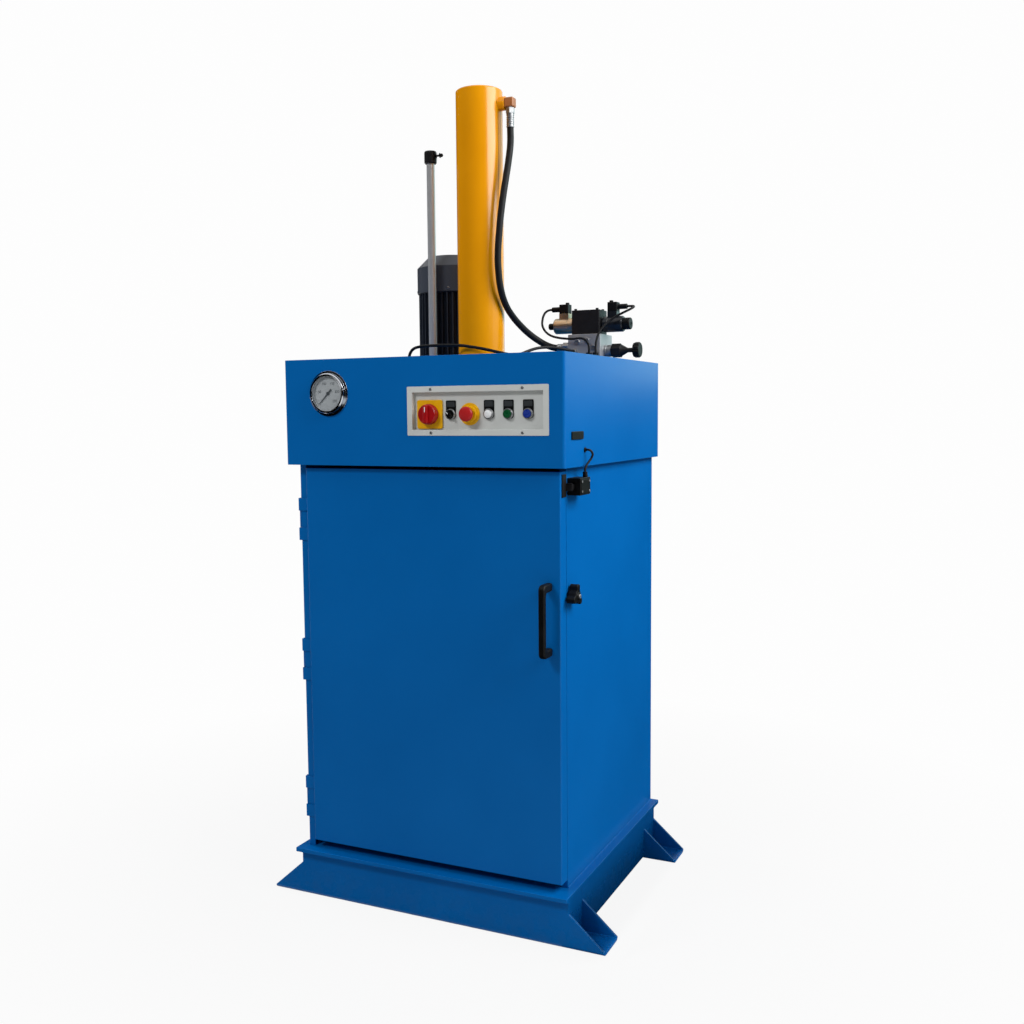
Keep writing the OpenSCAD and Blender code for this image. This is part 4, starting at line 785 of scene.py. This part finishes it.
bmesh.ops.transform(form, verts=form.verts, matrix=to_selector @ Matrix.Rotation(math.radians(-45), 4, "Y"))
build("selector_mark", form, white_plastic, "selector")
softened("button_bezels", steel, edge=0.0005)


# Gauge
# A steel can with a rolled bright bezel, a white enamelled dial toned pale grey as painted shade,
# with a printed scale and numbers, a black pointer on its spindle, and a flat glass tinted grey as painted
# shade.
bright_chrome, shader, place = finish("bright_chrome", Metallic=1.0)
polish = place.speckle(60, 3)
polish.mix(tint(188, 192, 198), tint(208, 211, 215)).feed(shader, "Base Color")
(0.10 + polish * 0.10).feed(shader, "Roughness")
polish.emboss(shader, strength=0.03, distance=0.0002)
softened("gauge_case", bright_chrome, edge=0.0006, rows=3)
softened("gauge_pointer", black_steel, edge=0.0002)
# The dial's pale grey, short of white, is painted shade under the glass.
dial_enamel = plastic("dial_enamel", tint(206, 211, 214), tint(216, 220, 222), shine=0.35)
dress("gauge_dial", dial_enamel)
dial_ink = plastic("dial_ink", tint(18, 19, 21), tint(28, 29, 31), shine=0.5)
dial_low, dial_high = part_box("gauge_dial")
dial_x, dial_z = (dial_low.x + dial_high.x) / 2, (dial_low.z + dial_high.z) / 2
dial_r = (dial_high.x - dial_low.x) / 2
long_in, short_in, ring_in, ring_out = (dial_r * share for share in (0.74, 0.79, 0.85, 0.865))
zero_angle, mark_angle, mark_count, marks_per_number = 225, 5.4, 50, 10
centre = Vector((dial_x, dial_low.y - 0.0001, dial_z))
form = bmesh.new()
for i in range(mark_count + 1):
    inner, half = (long_in, 0.0005) if i % marks_per_number == 0 else (short_in, 0.0003)
    angle = math.radians(zero_angle - mark_angle * i)
    out = Vector((math.cos(angle), 0, math.sin(angle)))
    over = Vector((-math.sin(angle), 0, math.cos(angle)))
    form.faces.new([form.verts.new(centre + out * r + over * w) for r, w in (
        (inner, -half), (ring_in, -half), (ring_in, half), (inner, half))])
    if i < mark_count:
        following = angle - math.radians(mark_angle)
        form.faces.new([form.verts.new(centre + Vector((math.cos(a), 0, math.sin(a))) * r) for a, r in (
            (angle, ring_in), (following, ring_in), (following, ring_out), (angle, ring_out))])
bmesh.ops.solidify(form, geom=form.faces[:], thickness=0.0002)
build("dial_scale", form, dial_ink, "machine")
number_step, number_across, number_up = 50, dial_r * 0.56, dial_r * 0.58
for i in range(mark_count // marks_per_number + 1):
    angle = math.radians(zero_angle - mark_angle * marks_per_number * i)
    letters = bpy.data.curves.new("dial_number_%d" % i, "FONT")
    letters.body = str(number_step * i)
    letters.size = 0.0105
    letters.extrude = 0.0001
    letters.align_x = letters.align_y = "CENTER"
    letters.materials.append(dial_ink)
    number = bpy.data.objects.new("dial_number_%d" % i, letters)
    number.location = (dial_x + math.cos(angle) * number_across, dial_low.y - 0.0002,
                       dial_z + math.sin(angle) * number_up)
    number.rotation_euler = (math.pi / 2, 0, 0)
    stage_scene.collection.objects.link(number)
    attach(number, "machine")
# The glass's grey colour is painted shade that darkens the dial behind it; its noise also varies the
# roughness, as smears would.
glass, shader, place = finish("gauge_glass", Alpha=0.16, Specular_IOR_Level=0.5)
smear_and_shade = place.speckle(18, 3)
smear_and_shade.mix(tint(120, 132, 140), tint(136, 146, 152)).feed(shader, "Base Color")
(0.03 + smear_and_shade * 0.05).feed(shader, "Roughness")
dress("gauge_lens", glass)


# Stage and light
# A pale floor fades into a white surround and keeps the machine's shadow. A large soft light stands on
# the right, a smaller one in front and a narrow one on the left. Black flags and a pale card show only
# in reflections, and one low flag at the right shades the base.
floor_half = 9.0
form = bmesh.new()
bmesh.ops.create_grid(form, x_segments=1, y_segments=1, size=floor_half)
floor_mesh = bpy.data.meshes.new("floor")
form.to_mesh(floor_mesh)
form.free()
floor = bpy.data.objects.new("floor", floor_mesh)
floor.location.z = -0.0008
stage_scene.collection.objects.link(floor)
floor_paint, shader, place = finish("floor_paint", Specular_IOR_Level=0.0)
place.speckle(3, 2).mix(tint(186, 186, 186), tint(192, 192, 192)).feed(shader, "Base Color")


def seen_rays(tree):
    """1 for what the camera sees, in reflections and through glass too, and 0 for light that falls."""
    rays = tree.nodes.new("ShaderNodeLightPath").outputs
    direct, mirrored, through = (Shade(tree, rays[kind]) for kind in (
        "Is Camera Ray", "Is Glossy Ray", "Is Transmission Ray"))
    return direct.sum_of("MAXIMUM", direct.sum_of("MAXIMUM", direct, mirrored), through)


paper_white = 0.985
tree = floor_paint.node_tree
span = place.node("ShaderNodeVectorMath", {"operation": "LENGTH"}, {0: place}, out=1)
white = place.node("ShaderNodeEmission", None, {"Color": (1, 1, 1, 1), "Strength": paper_white})
veil = seen_rays(tree) * (0.925 + span.between(0.8, 2.2) * 0.075)
mixed = place.node("ShaderNodeMixShader", None,
                   {0: veil, 1: Shade(tree, shader.outputs["BSDF"]), 2: white})
mixed.feed(tree.nodes["Material Output"], "Surface")
floor_mesh.materials.append(floor_paint)

world = bpy.data.worlds.new("surround")
world.use_nodes = True
stage_scene.world = world
tree = world.node_tree
ambient = 0.27
(ambient + seen_rays(tree) * (paper_white - ambient)).feed(tree.nodes["Background"], "Strength")
tree.nodes["Background"].inputs["Color"].default_value = (1, 1, 1, 1)


def soft_light(name, spot, aim, wide, tall, watts, mirrored=True):
    """A rectangular soft light that faces its aim, and that shiny faces mirror unless told otherwise."""
    lamp = bpy.data.lights.new(name, "AREA")
    lamp.shape = "RECTANGLE"
    lamp.size = wide
    lamp.size_y = tall
    lamp.energy = watts
    stand = bpy.data.objects.new(name, lamp)
    stand.location = spot
    stand.rotation_euler = (Vector(aim) - Vector(spot)).to_track_quat("-Z", "Y").to_euler()
    stand.visible_glossy = mirrored
    stage_scene.collection.objects.link(stand)


soft_light("key_right", (3.5, 0.0, 3.6), (0, 0, 1.3), wide=3.4, tall=2.2, watts=204)
soft_light("fill_front", (-1.6, -4.1, 4.5), (0, 0, 1.3), wide=1.6, tall=0.9, watts=106, mirrored=False)
soft_light("rim_left", (-3.6, 0.6, 2.6), (0, 0.1, 1.9), wide=0.8, tall=2.4, watts=44, mirrored=False)

felt, shader, place = finish("flag_felt", Specular_IOR_Level=0.0)
place.speckle(200, 2).mix(tint(8, 8, 8), tint(14, 14, 14)).feed(shader, "Base Color")
pale_card, shader, place = finish("pale_card", Specular_IOR_Level=0.0, Emission_Strength=0.96)
place.speckle(2, 2).mix(tint(186, 255, 252), tint(192, 255, 254)).feed(shader, "Emission Color")
lift = 0.004
for name, low, high in (
        ("card_behind", (-0.5, 6, 1.7), (9, 6, 5.5)),
        ("flag_behind", (-0.5, 6, 0), (9, 6, 1.7)),
        ("flag_behind_floor", (0.41, -0.5, lift), (9, 6, lift)),
        ("flag_front", (-7, -5.6, 0), (6.2, -5.6, 5.5)),
        ("flag_front_floor", (-5, -5.6, lift), (0.6, -0.38, lift)),
        ("flag_right", (6.2, -5.6, 0), (6.2, -0.6, 5.5)),
        ("flag_left", (-6, -5.6, 1.2), (-6, 6, 5.5)),
        ("flag_behind_left", (-6, 6, 1.2), (-1.2, 6, 5.5)),
        ("flag_base", (0.56, -0.39, 0.04), (0.56, 0.43, 0.28))):
    lies = low[2] == high[2]
    shades = name == "flag_base"
    corners = (low, (high[0], low[1] if lies else high[1], low[2]),
               high, (low[0], high[1] if lies else low[1], high[2]))
    form = bmesh.new()
    form.faces.new([form.verts.new(c) for c in corners])
    mesh = bpy.data.meshes.new(name)
    form.to_mesh(mesh)
    form.free()
    mesh.materials.append(pale_card if name == "card_behind" else felt)
    flag = bpy.data.objects.new(name, mesh)
    flag.visible_camera = False
    flag.visible_shadow = shades
    flag.visible_diffuse = False
    flag.visible_glossy = not shades
    stage_scene.collection.objects.link(flag)
